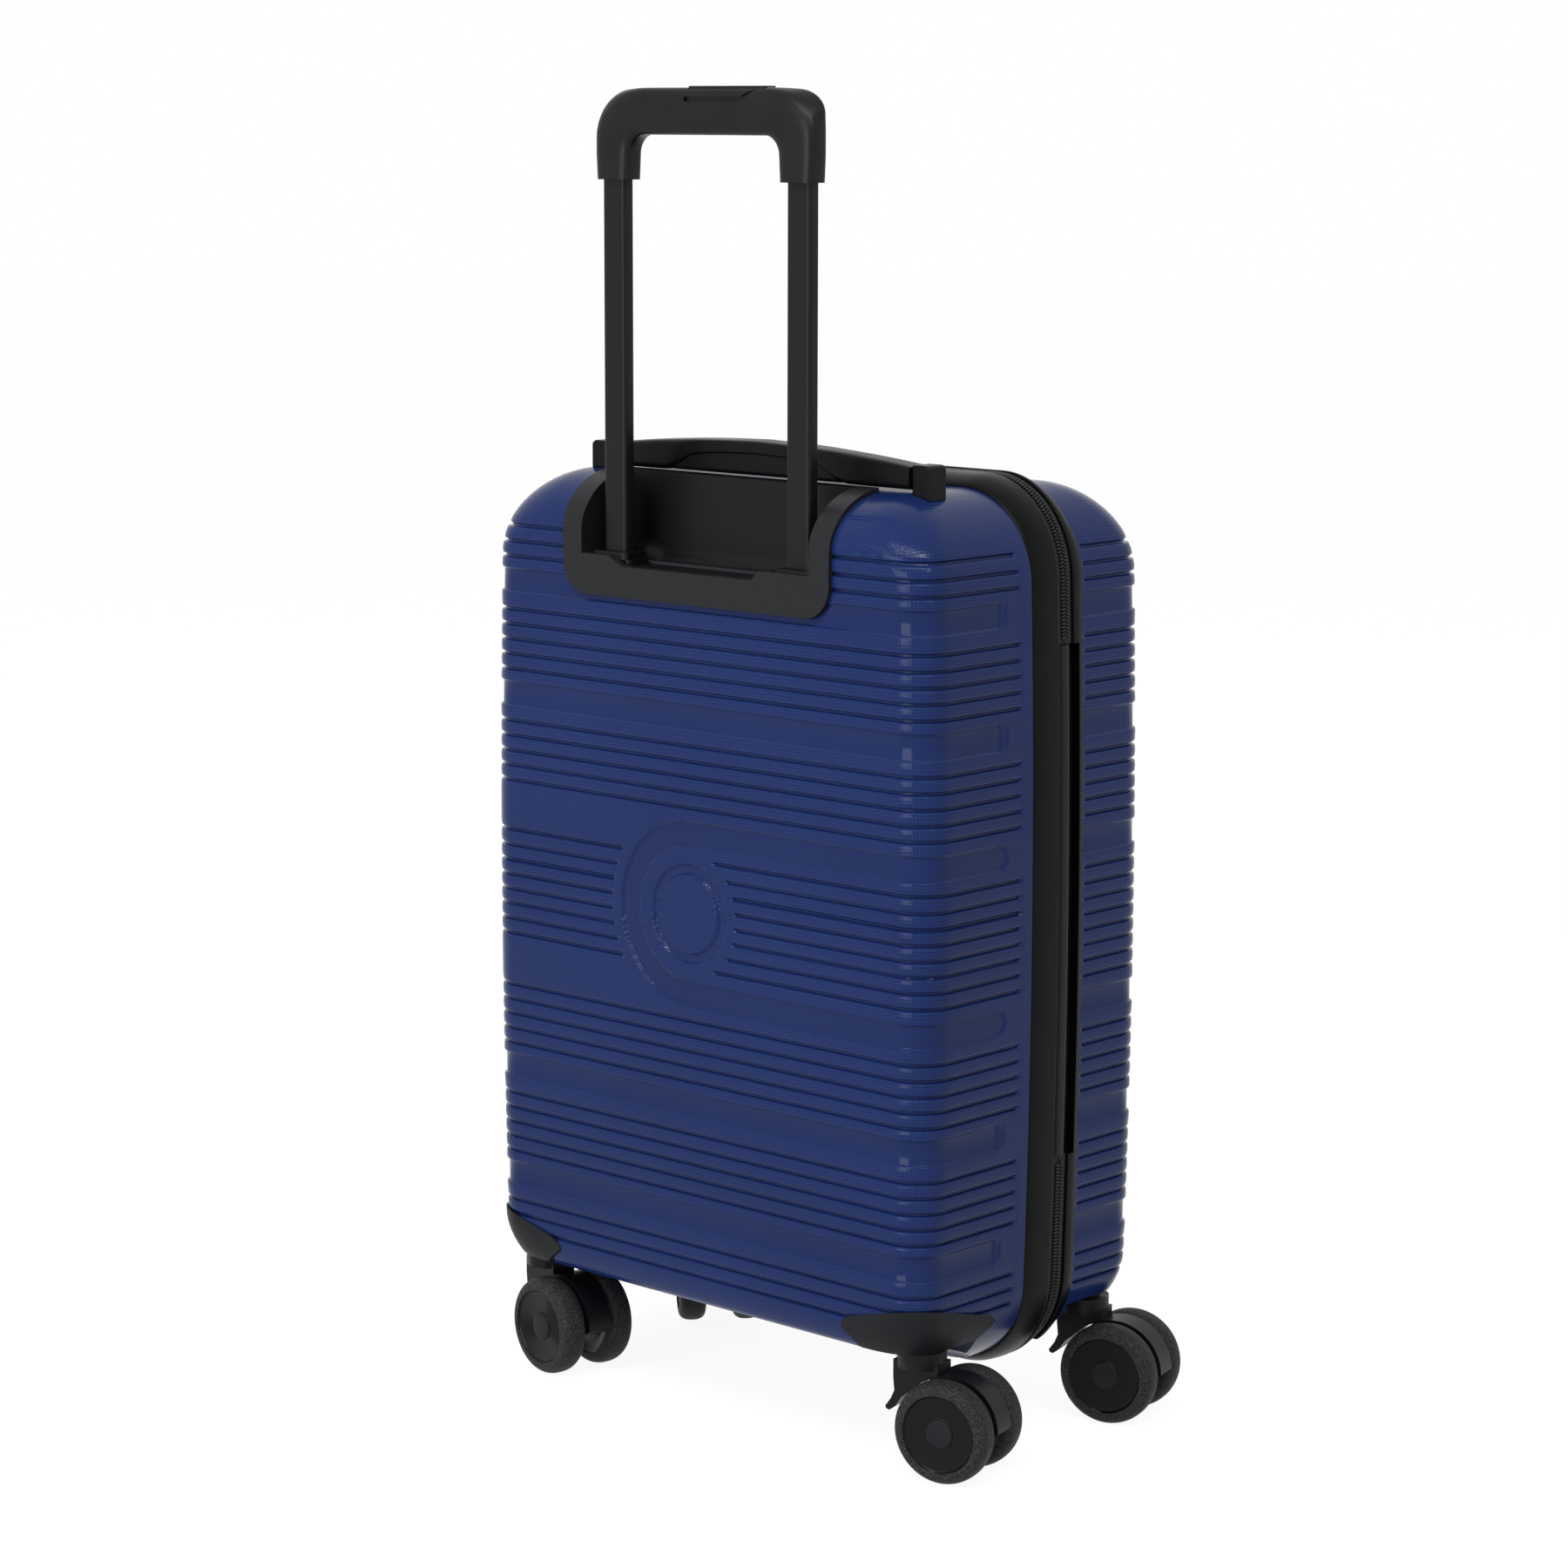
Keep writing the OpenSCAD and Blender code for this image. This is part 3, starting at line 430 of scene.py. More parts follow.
def block(low, high):
    """Closed box between two corners in millimetres, as a loop of four edges with its two ends."""
    (x0, y0, z0), (x1, y1, z1) = low, high
    loop = np.array([[x0, y0], [x1, y0], [x1, y1], [x0, y1], [x0, y0]], float)
    middle = np.repeat([[(x0 + x1) / 2, (y0 + y1) / 2]], 5, axis=0)
    rows = [(middle, z0), (loop, z0), (loop, z1), (middle, z1)]
    return closed("block", [np.stack([np.c_[p, np.full(5, z)] for p, z in rows])])


def circle(turns):
    """Angles once round, the last the same as the first."""
    a = np.linspace(0, 2 * np.pi, turns + 1)
    a[-1] = 0
    return a


def fuller(value, power):
    """A sine or cosine to a power under 1, with its sign: it turns a circle into a rounded oblong."""
    return np.sign(value) * np.abs(value) ** power


def revolve(profile, turns=72):
    """Closed solid from a profile of (radius, height) pairs that starts and ends on the axis."""
    r, h = np.array(profile, float).T
    a = circle(turns)
    return np.stack([r[:, None] * np.cos(a), r[:, None] * np.sin(a), np.repeat(h[:, None], len(a), 1)], -1)


print("cutting helpers ready")

# %% [markdown]
# ## The shells' form
# Both shells share one outline: side walls that bow out a little, joined by round corners. A
# point of the outline is a base point plus a direction in which it grows, so any offset of the
# outline is one sum. Between wall and face the surface rolls over an elliptical edge.

# %% Outline of the case
def span(node):
    """Lowest and highest corner of a CAD node in millimetres."""
    return [np.array(corner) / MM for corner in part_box(node)]


shell_lo, shell_hi = span("back_shell")
HALF_W, FACE, SEAM = float(shell_hi[0]), float(shell_hi[1]), float(shell_lo[1])
HIGH, LOW = float(shell_hi[2]), float(shell_lo[2])
FRONT_SEAM = float(span("front_shell")[1][1])
WALL, CORNER_R, SIDE_BOW = 2.6, 48.0, 5.0
EDGE_SIDE, EDGE_TOP, EDGE_LOW, EDGE_RUN = 20.0, 31.0, 39.0, 44.0
BELLY = math.radians(16)
CX, CT, CB = HALF_W - CORNER_R, HIGH - CORNER_R, LOW + CORNER_R
MID_Z, HALF_Z = (HIGH + LOW) / 2, (HIGH - LOW) / 2


def bow(z):
    """Factor that pulls the side walls in above and below mid height."""
    return 1 - SIDE_BOW / HALF_W * ((z - MID_Z) / HALF_Z) ** 2


def walk(corner=16, side=40, top=24):
    """The outline counter-clockwise from the +X side: base x, base z and the direction (c, s)."""
    a = np.linspace(0, np.pi / 2, corner + 1)
    e = np.ones_like(a)
    t = np.linspace(CX, -CX, top + 1)[1:-1]
    h = np.linspace(CT, CB, side + 1)[1:-1]
    p, q = np.zeros_like(t), np.ones_like(t)
    g, f = np.zeros_like(h), np.ones_like(h)
    parts = [(e * CX, e * CT, np.cos(a), np.sin(a)), (t, q * CT, p, q),
             (-e * CX, e * CT, -np.sin(a), np.cos(a)), (-f * CX, h, -f, g),
             (-e * CX, e * CB, -np.cos(a), -np.sin(a)), (-t, q * CB, p, -q),
             (e * CX, e * CB, np.sin(a), -np.cos(a)), (f * CX, h[::-1], f, g)]
    return [np.concatenate(column) for column in zip(*parts)]


def outline(path, s, t, b):
    """Outline grown by s at the sides, t at the top and b at the bottom; arrays broadcast."""
    bx, bz, c, d = path
    z = bz + (CORNER_R + np.where(d > 0, t, b)) * d
    return (bx + (CORNER_R + s) * c) * bow(z), z


def lifted(y, z, seam, grow=0.0):
    """Heights raised onto the underside, which slopes up from the seam, over a soft crease."""
    low = LOW - grow / math.cos(BELLY) + (y - seam - 4) * math.tan(BELLY)
    return low + 1.2 * np.logaddexp(0, (z - low) / 1.2)


print("case is", round(2 * HALF_W), "wide and", round(HIGH - LOW), "high without its casters")

# %% [markdown]
# A solid pillow of that form, grown or shrunk, is the raw block from which the housings, the cup's
# bezel and the wheel arches are cut, so that they all follow the shell.

# %% Solid pillow
def rolled(path, roll, grow):
    """A ring between wall and face: roll is 0 on the wall and a quarter turn on the face."""
    k, g = 1 - np.cos(roll), grow * np.cos(roll)
    x, z = outline(path, g - EDGE_SIDE * k, g - EDGE_TOP * k, g - EDGE_LOW * k)
    run = EDGE_SIDE * path[2] ** 2 + EDGE_RUN * path[3] ** 2
    return np.stack([x, FACE - run * (1 - np.sin(roll)) + grow * np.sin(roll), z], -1)


def pillow(start_y, grow):
    """Closed solid from the plane start_y to the face, grown by grow. The face is one fan."""
    path = walk()
    x, z = outline(path, grow, grow, grow)
    first = np.stack([x, np.full_like(x, start_y), z], -1)
    rows = [first] + [rolled(path, r, grow) for r in np.linspace(0, np.pi / 2, 17)]
    for row in rows:
        row[:, 2] = lifted(row[:, 1], row[:, 2], SEAM if start_y < 30 else -FRONT_SEAM, grow)
    ends = [np.repeat([[0, row[0][1], MID_Z]], len(x), 0) for row in (rows[0], rows[-1])]
    sheet = ring(np.stack([ends[0], *rows, ends[1]]), 1)
    return closed("pillow", [sheet])


print("pillow of", len(walk()[0]), "points round")

# %% [markdown]
# ## Grooves and bands
# The shells are ribbed: narrow grooves that run round the case with rounded ribs between
# them, and smooth bands set in a little. On the trolley face one band turns round a plain disc. A
# depth function of the place gives all of it: the distance to each groove's or band's middle line is
# looked up in that groove's cross-section.

# %% Relief of the shells
GROOVES = [489.7, 480.7, 472.2, 442.2, 433.7, 425.2, 416.7, 408.2, 378.7, 370.2, 361.7, 353.2, 344.7,
           226.2, 217.7, 209.2, 200.7, 192.2, 162.7, 154.2, 145.7, 137.2, 128.7, 99.7, 91.2, 82.7]
BANDS = [(452.2, 465.2), (387.2, 401.2), (172.2, 185.7), (108.7, 122.2)]
LOOP_X, LOOP_Z = 5.5, 285.9
LOOP_IN, LOOP_OUT = 37.8, 51.3
LEGS = [(LOOP_Z - LOOP_OUT, LOOP_Z - LOOP_IN), (LOOP_Z + LOOP_IN, LOOP_Z + LOOP_OUT)]
DISC_R, DISC_GAP = 22.0, 5.5
SHORT = [316.2, 307.2, 298.7, 290.2, 281.7, 273.3, 264.7, 256.2]
CUT_AT = np.array([0.0, 0.5, 1.15, 1.5, 2.3, 4.2])
CUT_DEPTH = np.array([2.3, 2.28, 0.6, 0.3, 0.14, 0.0])
BAND_DEPTH = 1.4


def soft_edge(distance, width):
    """1 inside, 0 outside, with a smooth step of that width at distance 0."""
    t = np.clip(0.5 - distance / width, 0, 1)
    return t * t * (3 - 2 * t)


def relief(x, y, z, groove_end, band_end, motif):
    """Depth below the smooth form, and how plain the surface is there. y counts from mid depth."""
    depth, plain = np.zeros_like(x), np.zeros_like(x)
    for line in GROOVES + ([] if motif else SHORT):
        far = np.hypot(z - line, np.maximum(0, groove_end + 1.4 - y))
        depth = np.maximum(depth, np.interp(far, CUT_AT, CUT_DEPTH))
    bands = list(BANDS)
    if not motif:
        bands += LEGS
    for low, high in bands:
        half = (high - low) / 2
        far = np.hypot(z - (low + high) / 2, np.maximum(0, band_end + half - y)) - half
        plain = np.maximum(plain, soft_edge(far, 1.1))
    if motif:
        dx, dz = x - LOOP_X, z - LOOP_Z
        r = np.hypot(dx, dz)
        half, middle = (LOOP_OUT - LOOP_IN) / 2, (LOOP_OUT + LOOP_IN) / 2
        legs = np.hypot(np.abs(dz) - middle, np.maximum(0, band_end + half - y))
        far = np.where(dx > 0, np.abs(r - middle), legs) - half
        plain = np.maximum(plain, soft_edge(far, 1.1))
        trench = soft_edge(np.abs(r - DISC_R - DISC_GAP / 2) - DISC_GAP / 2, 1.1)
        depth = np.maximum(depth, 1.7 * trench)
        for line in SHORT:
            left = LOOP_X + math.sqrt(60.0**2 - (line - LOOP_Z) ** 2)
            right = LOOP_X - math.sqrt(36.0**2 - (line - LOOP_Z) ** 2)
            past = np.minimum(np.maximum(0, left - x), np.maximum(0, x - right))
            side = np.maximum(0, groove_end + 1.4 - y)
            far = np.hypot(np.hypot(z - line, past), side)
            depth = np.maximum(depth, np.interp(far, CUT_AT, CUT_DEPTH))
    return np.maximum(depth, BAND_DEPTH * plain), plain


print(len(GROOVES) + len(SHORT), "grooves and", len(BANDS) + 1, "bands")

# %% [markdown]
# ## Shell surfaces
# The grid's rows lie at constant height, close together at each groove, so that the grooves are cut
# cleanly. Columns run from the seam over the wall, the roll and the face to the other seam. Above the
# last row and below the first, a cap closes the form, with its own rows along the outline.

# %% Rows and columns of a shell
CAP_TOP, CAP_LOW = 494.0, 78.4


def heights(motif):
    """Row heights: every groove's and band's cross-section, and an even fill between."""
    z = [CAP_TOP, CAP_LOW]
    for line in GROOVES + SHORT:
        z += [line + s * t for t in (0.5, 1.15, 1.5, 2.3) for s in (-1, 1)]
    for low, high in BANDS + LEGS:
        z += [edge + t for edge in (low, high) for t in (-0.7, -0.25, 0.25, 0.7)]
    near = LOOP_OUT + 2
    fine = np.arange(LOOP_Z - near, LOOP_Z + near, 0.8) if motif else []
    z = np.unique(np.round(np.concatenate([z, fine]), 2))
    z = z[(z >= CAP_LOW) & (z <= CAP_TOP)]
    keep = np.concatenate([[True], np.diff(z) > 0.24])
    keep[-1] = True
    z = z[keep]
    wide = np.flatnonzero(np.diff(z) > 3.0)
    return np.sort(np.concatenate([z, (z[wide] + z[wide + 1]) / 2]))


def form(z, wall, roll, face, seam):
    """Points and outward directions of the smooth form at rows z. wall holds shares of the way
    from the seam to the roll, roll shares of the roll, face shares of the half width."""
    z = z[:, None]
    over, under = np.maximum(0, z - CT), np.maximum(0, CB - z)
    drop = np.where(z > MID_Z, EDGE_TOP, EDGE_LOW)
    out = over + under
    most = np.arccos(np.clip(1 - (CORNER_R - out) / drop, 0, 1))
    share = np.concatenate([np.zeros(len(wall)), roll, np.ones(len(face))])[None]
    phi = most * share
    k = 1 - np.cos(phi)
    s = np.clip(out / (CORNER_R - drop * k), 0, 1)
    c = np.sqrt(1 - s * s)
    run = EDGE_SIDE * c * c + EDGE_RUN * s * s
    x = (CX + (CORNER_R - EDGE_SIDE * k) * c) * bow(z)
    y = FACE - run * (1 - np.sin(phi))
    n = len(wall)
    y[:, :n] = seam + (y[:, :n] - seam) * np.array(wall)[None]
    x[:, n + len(roll):] = x[:, n + len(roll):] * np.array(face)[None]
    c[:, n + len(roll):] = 0
    up = np.where(z > MID_Z, 1, -1) * s
    way = np.stack([c * np.cos(phi), np.sin(phi), up * np.cos(phi)], -1)
    half = np.stack([x, y, z + 0 * x], -1), way
    return [np.concatenate([h, (h[:, : n + len(roll)] * (-1, 1, 1))[:, ::-1]], axis=1) for h in half]


def cap(z, wall, roll, face, seam, steps):
    """The part of the form beyond the row z, with rows from the seam to the face."""
    top = z > MID_Z
    centre, drop, sign = (CT, EDGE_TOP, 1) if top else (CB, EDGE_LOW, -1)
    out = abs(z - centre)
    most = math.acos(1 - (CORNER_R - out) / drop)
    phi = most * np.concatenate([np.zeros(len(wall)), roll])[:, None]
    k = 1 - np.cos(phi)
    first = np.arcsin(np.clip(out / (CORNER_R - drop * k), 0, 1))
    theta = first + (np.pi / 2 - first) * np.linspace(0, 1, steps + 1)[None]
    rise = CORNER_R - drop * k
    high = centre + sign * rise * np.sin(theta)
    corner_x = (CX + (CORNER_R - EDGE_SIDE * k) * np.cos(theta)) * bow(high)
    flat_z = centre + sign * rise + 0 * np.array(face)[None]
    flat_x = CX * bow(flat_z) * np.array(face)[None]
    x = np.concatenate([corner_x, flat_x, -corner_x[:, ::-1]], 1)
    zz = np.concatenate([high, flat_z, high[:, ::-1]], 1)
    c = np.concatenate([np.cos(theta), 0 * flat_x, -np.cos(theta)[:, ::-1]], 1)
    s = np.sqrt(1 - c * c)
    run = EDGE_SIDE * c * c + EDGE_RUN * s * s
    y = FACE - run * (1 - np.sin(phi))
    n = len(wall)
    y[:n] = seam + (y[:n] - seam) * np.array(wall)[:, None]
    if not top:
        zz = lifted(y, zz, seam)
    return np.stack([x, y, zz], -1)


print("rows with the loop:", len(heights(True)), "and without:", len(heights(False)))

# %% [markdown]
# Each shell starts as a solid with its relief, and one cut takes out all that is hollow: the inside,
# the arches in which the casters turn, and the openings for the cup and the lock. The inside is the
# pillow shrunk by the wall, less a thick post round each arch, so that the arches get a wall too.

# %% What is hollow
def middle(node):
    low, high = span(node)
    return (low + high) / 2


def spun(profile, x=0.0, y=0.0, turns=72):
    """Closed solid of revolution about an upright axis."""
    return closed("spun", [revolve(profile, turns) + (x, y, 0)])


def rod(radius, low, high, x, y, turns=72):
    """Closed upright cylinder between two heights."""
    return spun([(0, low), (radius, low), (radius, high), (0, high)], x, y, turns)


POSTS = {i: middle(f"stem_{i}")[:2] for i in (1, 2, 3, 4)}
WELL_R, WELL_MID, WHEEL_R, POD_R, POD_TOP = 29.2, 26.0, 28.0, 53.4, 72.6
belly = np.arcsin(np.clip((np.linspace(30, 56.4, 12) - WHEEL_R) / WELL_R, -1, 1))
WELL = [(0, 20), (WELL_MID + 29, 20),
        *zip(WELL_MID + WELL_R * np.cos(belly), WHEEL_R + WELL_R * np.sin(belly)),
        (33.3, 66.5), (36.8, 69.8), (9.3, 69.8), (9.3, 81.8), (0, 81.8)]


def hollow(seam, post, boxes=()):
    """Cutter for a shell, seen as the back one, with its casters' axes at post."""
    inside = pillow(seam - 1, -WALL)
    for x in (-post[0], post[0]):
        inside = carve(inside, rod(POD_R, 20, POD_TOP, x, post[1]))
    for x in (-post[0], post[0]):
        inside = carve(inside, spun(WELL, x, post[1]), "UNION")
    for low, high in boxes:
        inside = carve(inside, block(low, high), "UNION")
    return inside


print("posts at", {i: tuple(np.round(post, 1)) for i, post in POSTS.items()})

# %% [markdown]
# The outside is one grid between two caps, and fans close it at the seam. The "plain" attribute is
# worked out from the finished points, so that the bands lose the grain.

# %% Build a shell
def mirrored(mesh):
    """Turns a piece built for the back into one for the front."""
    mesh.transform(Matrix.Diagonal((1, -1, 1, 1)))
    mesh.flip_normals()
    return mesh


def shell(name, seam, wall_y, fine_x, groove_end, band_end, motif, cutter):
    """A shell seen as the back one: its solid form with the relief, minus what is hollow."""
    start = FACE - EDGE_SIDE
    wall, roll = (np.array(wall_y) - seam) / (start - seam), np.linspace(0, 1, 13)[1:]
    flat = HALF_W - EDGE_SIDE
    face = np.concatenate([np.linspace(flat, 75, 8)[1:], fine_x, np.linspace(-75, -flat, 8)[:-1]]) / flat
    points, way = form(heights(motif), wall, roll, face, seam)
    depth, _ = relief(points[..., 0], points[..., 1], points[..., 2], groove_end, band_end, motif)
    skin = points - way * depth[..., None]
    caps = [cap(edge, wall, roll, face, seam, 12) for edge in (CAP_TOP, CAP_LOW)]
    edges = [skin[:, 0], skin[:, -1], caps[0][0], caps[1][0]]
    fans = [np.stack([edge, np.tile([0, seam, MID_Z], (len(edge), 1))], 1) for edge in edges]
    mesh = carve(closed(name, [skin, *caps, *fans]), cutter)
    at = np.empty(len(mesh.vertices) * 3, np.float32)
    mesh.vertices.foreach_get("co", at)
    x, y, z = at.reshape(-1, 3).T.astype(float) / MM
    _, plain = relief(x, y, z, groove_end, band_end, motif)
    mesh.attributes.new("plain", "FLOAT", "POINT").data.foreach_set("value", plain.astype(np.float32))
    return mesh


CUP_BOX = ((-87.1, 59.9, 470.3), (87.1, 130, 560))
LOCK_BOX = ((152.0, 9.8, 371.8), (180, 36.2, 448.2))
BACK_WALL = [7, 8.5, 10, 11.5, *range(13, 19), 20, 23, 25, *range(26, 38), 39, 42, 46, 51, 56, 62, 68, 74]
FRONT_WALL = [35.5, 36.5, 37.2, 38, 39, 40, 42, 45, 50, 55, 60, 67, 74]
mesh = shell("back", SEAM, BACK_WALL, np.arange(68, -68.1, -1.0), 16, 28, True,
             hollow(SEAM, np.abs(POSTS[1]), [CUP_BOX, LOCK_BOX]))
show("back_shell_form", mesh, "navy_shell", "back_shell")
mesh = shell("front", -FRONT_SEAM, FRONT_WALL, np.arange(60, -60.1, -12.0), 37, 20, False,
             hollow(-FRONT_SEAM, np.abs(POSTS[3])))
show("front_shell_form", mirrored(mesh), "navy_shell", "front_shell")

# %% [markdown]
# ## Rims and zip
# Two extruded black rims clamp the edges of the shells and hold the zip between them. Each is a
# loft: one profile, walked round the outline. The profile is rounded by cutting its corners twice, each
# corner being replaced by two points at a quarter and three quarters of its edges.

# %% Profiles and lofts
def rounded(points, times=2, loop=False):
    """Corner cutting. An open line keeps its two ends."""
    p = np.asarray(points, float)
    for _ in range(times):
        q = np.vstack([p, p[:1]]) if loop else p
        a, b = q[:-1], q[1:]
        cut = np.stack([0.75 * a + 0.25 * b, 0.25 * a + 0.75 * b], 1).reshape(-1, 2)
        p = cut if loop else np.vstack([p[:1], cut[1:-1], p[-1:]])
    return p


def loft(path, profile, whole=True):
    """Sheet of a profile of (y, growth at the sides, growth at top and bottom) round a path."""
    rows = []
    for y, side, high in profile:
        x, z = outline(path, side, high, high)
        rows.append(np.stack([x, np.full_like(x, y), z], -1))
    sheet = ring(np.array(rows), 0)
    return ring(sheet, 1) if whole else sheet


def ends(sheet):
    """Fans that close the two open ends of a loft."""
    return [np.stack([line, np.tile(line[:-1].mean(0), (len(line), 1))], 1)
            for line in (sheet[:, 0], sheet[:, -1])]


def swept(name, sheet):
    """Closed mesh of a loft with open ends."""
    return closed(name, [sheet, *ends(sheet)])


RISE, SIDE_RISE, RIM_DEPTH = 6.7, 1.5, 10.0
EDGE, FRONT_EDGE = float(span("back_rim")[0][1]), float(span("front_rim")[1][1])
flap_lo, flap_hi = span("hinge_flap")
path = walk(corner=24, side=60, top=30)


def rim(seam, edge, shares):
    """Closed rim from the shell's seam to the zip's edge. Shares: of the width, of each rise."""
    crest = [(seam + (edge - seam) * a, SIDE_RISE * b, RISE * c) for a, b, c in shares]
    crest = np.array(crest)
    smooth = np.c_[rounded(crest[:, :2]), rounded(crest[:, ::2])[:, 1]]
    lips = [(edge, -RIM_DEPTH, -RIM_DEPTH), (seam, -RIM_DEPTH, -RIM_DEPTH)]
    return closed("rim", [loft(path, [*smooth, *lips])])


BACK_CREST = [(0, 0, 0), (0.02, 0.25, 0.2), (0.1, 0.45, 0.42), (0.24, 0.7, 0.66), (0.42, 0.9, 0.86),
              (0.62, 1, 0.97), (0.9, 1, 1), (0.98, 0.95, 1), (1, 0.5, 0.93)]
FRONT_CREST = [(0, 0, 0), (0.05, 0.25, 0.2), (0.18, 0.45, 0.42), (0.37, 0.75, 0.68), (0.6, 0.95, 0.9),
               (0.8, 1, 1), (0.93, 1, 1), (0.99, 0.9, 0.98), (1, 0.5, 0.93)]
show("back_rim_form", rim(SEAM, EDGE, BACK_CREST), "rim_black", "back_rim")
mesh = rim(FRONT_SEAM, FRONT_EDGE, FRONT_CREST)
for i in (3, 4):
    mesh = carve(mesh, spun(WELL, *POSTS[i]))
notch = block((-HALF_W - 20, FRONT_EDGE - 5, flap_lo[2] - 0.3), (-HALF_W + 15, 10, flap_hi[2] + 0.3))
show("front_rim_form", carve(mesh, notch), "rim_black", "front_rim")

# %% [markdown]
# The zip runs round the case but for the hinge, where a moulded strip takes its place. Its tapes are
# woven strips, one on each rim, and the coil lies on them. The path of the zip is the outline turned
# so that it starts at the hinge.

# %% Zip tapes and hinge strip
def zip_path(low, high):
    """The outline from the -X side at height low, round the bottom and the top, to height high."""
    bx, bz, c, d = walk(corner=24, side=60, top=30)
    hinge = (c < -0.999) & (np.abs(d) < 1e-9) & (bz > low) & (bz < high)
    first = int(np.flatnonzero(hinge)[-1]) + 1
    turned = [np.roll(column, -first) for column in (bx, bz, c, d)]
    keep = ~np.roll(hinge, -first)
    start, stop = (-CX, low, -1.0, 0.0), (-CX, high, -1.0, 0.0)
    return [np.concatenate([[a], column[keep], [b]]) for a, column, b in zip(start, turned, stop)]


ZIP = zip_path(flap_lo[2] - 0.3, flap_hi[2] + 0.3)
ZIP_MID = (EDGE + FRONT_EDGE) / 2


def tape(name, node, y0, y1, wells=()):
    top, low = (SIDE_RISE - 2.0, RISE - 2.0), (SIDE_RISE - 3.2, RISE - 3.2)
    across = [(y0, *top), ((y0 + y1) / 2, *top), (y1, *top), (y1, *low), (y0, *low)]
    mesh = swept(name, loft(ZIP, across, whole=False))
    for i in wells:
        mesh = carve(mesh, spun(WELL, *POSTS[i]))
    show(name, mesh, "tape_cloth", node)


tape("back_tape_weave", "back_zip_tape", ZIP_MID + 0.3, EDGE)
tape("front_tape_weave", "front_zip_tape", FRONT_EDGE, ZIP_MID - 0.3)

t = np.linspace(flap_lo[2], flap_hi[2], 40)
side = (-CX + 0 * t, t, -1 + 0 * t, 0 * t)
strip = rounded([(EDGE, 0.2), (EDGE - 1.0, 0.2), (EDGE - 1.6, 1.3), (ZIP_MID + 1, 1.3),
                 (ZIP_MID - 1.8, 1.1), (ZIP_MID - 3.2, 0.6), (ZIP_MID - 3.2, -0.6), (ZIP_MID, -1.2)])
strip = [*strip, (ZIP_MID, -3.7), (FRONT_EDGE - 4.4, -3.7), (FRONT_EDGE - 4.4, -5.7),
         (ZIP_MID + 1.5, -5.7), (ZIP_MID + 1.5, -1.2), (EDGE, -1.2)]
sheet = loft(side, [(y, g, 0) for y, g in strip], whole=False)
show("hinge_strip_form", swept("strip", sheet), "flap_black", "hinge_flap")

# %% [markdown]
# The coil is two nylon spirals that mesh. One turn is a small slanted bead, copied along the path at
# the coil's pitch; arrays place all turns at once. A bead is a ring of eight points walked over three
# rings, and narrows to a point at both ends.

# %% Zip coil
def coil(name, node, y0, y1, lean, wells=()):
    """Beads from y0 to y1 across the zip, leaning along it; those over a wheel arch are left out."""
    bx, bz, c, d = zip_path(flap_lo[2] - 3, flap_hi[2] + 3)
    x, z = outline((bx, bz, c, d), SIDE_RISE - 1.15, RISE - 1.15, RISE - 1.15)
    way = np.concatenate([[0], np.cumsum(np.hypot(np.diff(x), np.diff(z)))])
    at = np.arange(1.2, way[-1], 1.9) + (0.95 if lean > 0 else 0)
    at = at[at < way[-1] - 0.5]
    x0, z0, x1, z1 = (np.interp(at + t, way, k) for t in (-0.5, 0.5) for k in (x, z))
    along = np.stack([x1 - x0, 0 * x0, z1 - z0], -1)
    along /= np.linalg.norm(along, axis=1)[:, None]
    out = np.stack([along[:, 2], 0 * x0, -along[:, 0]], -1)
    mid = np.stack([(x0 + x1) / 2, 0 * x0 + (y0 + y1) / 2, (z0 + z1) / 2], -1)
    for i in wells:
        far = np.hypot(mid[:, 0] - POSTS[i][0], mid[:, 1] - POSTS[i][1])
        keep = (far > WELL_MID + WELL_R) | (mid[:, 2] > 60)
        mid, along, out = mid[keep], along[keep], out[keep]
    t = np.linspace(-1, 1, 6)[:, None]
    a = np.linspace(0, 2 * np.pi, 7)[None]
    thick = np.sqrt(np.clip(1 - np.abs(t) ** 3, 0, 1))
    u = 0.78 * thick * np.cos(a) + lean * t
    v = (y1 - y0) / 2 * t + 0 * a
    w = 0.9 * thick * np.sin(a) + 0.15 * (1 - t * t)
    cells = [k[None, :, :, None] for k in (u, v, w)]
    beads = mid[:, None, None] + cells[0] * along[:, None, None] + cells[1] * np.array([0, 1, 0]) \
        + cells[2] * out[:, None, None]
    show(name, closed(name, [beads]), "coil_nylon", node, sharp=80)


coil("back_coil", "back_zip_chain", ZIP_MID - 0.25, ZIP_MID + 3.5, 0.55)
coil("front_coil", "front_zip_chain", ZIP_MID - 3.5, ZIP_MID + 0.25, -0.55, (3, 4))

# %% [markdown]
# ## Corner housings
# A black housing wraps each lower corner and takes the caster. It follows the shell, a little proud
# of it, and its edge is a round drum that leans outwards at the bottom. So it is the pillow,
# grown by the housing's thickness, in common with a lathe-turned drum whose top is sheared to rise
# towards the corner.

# %% Corner housings
PROUD, WITHIN = 1.2, -1.3


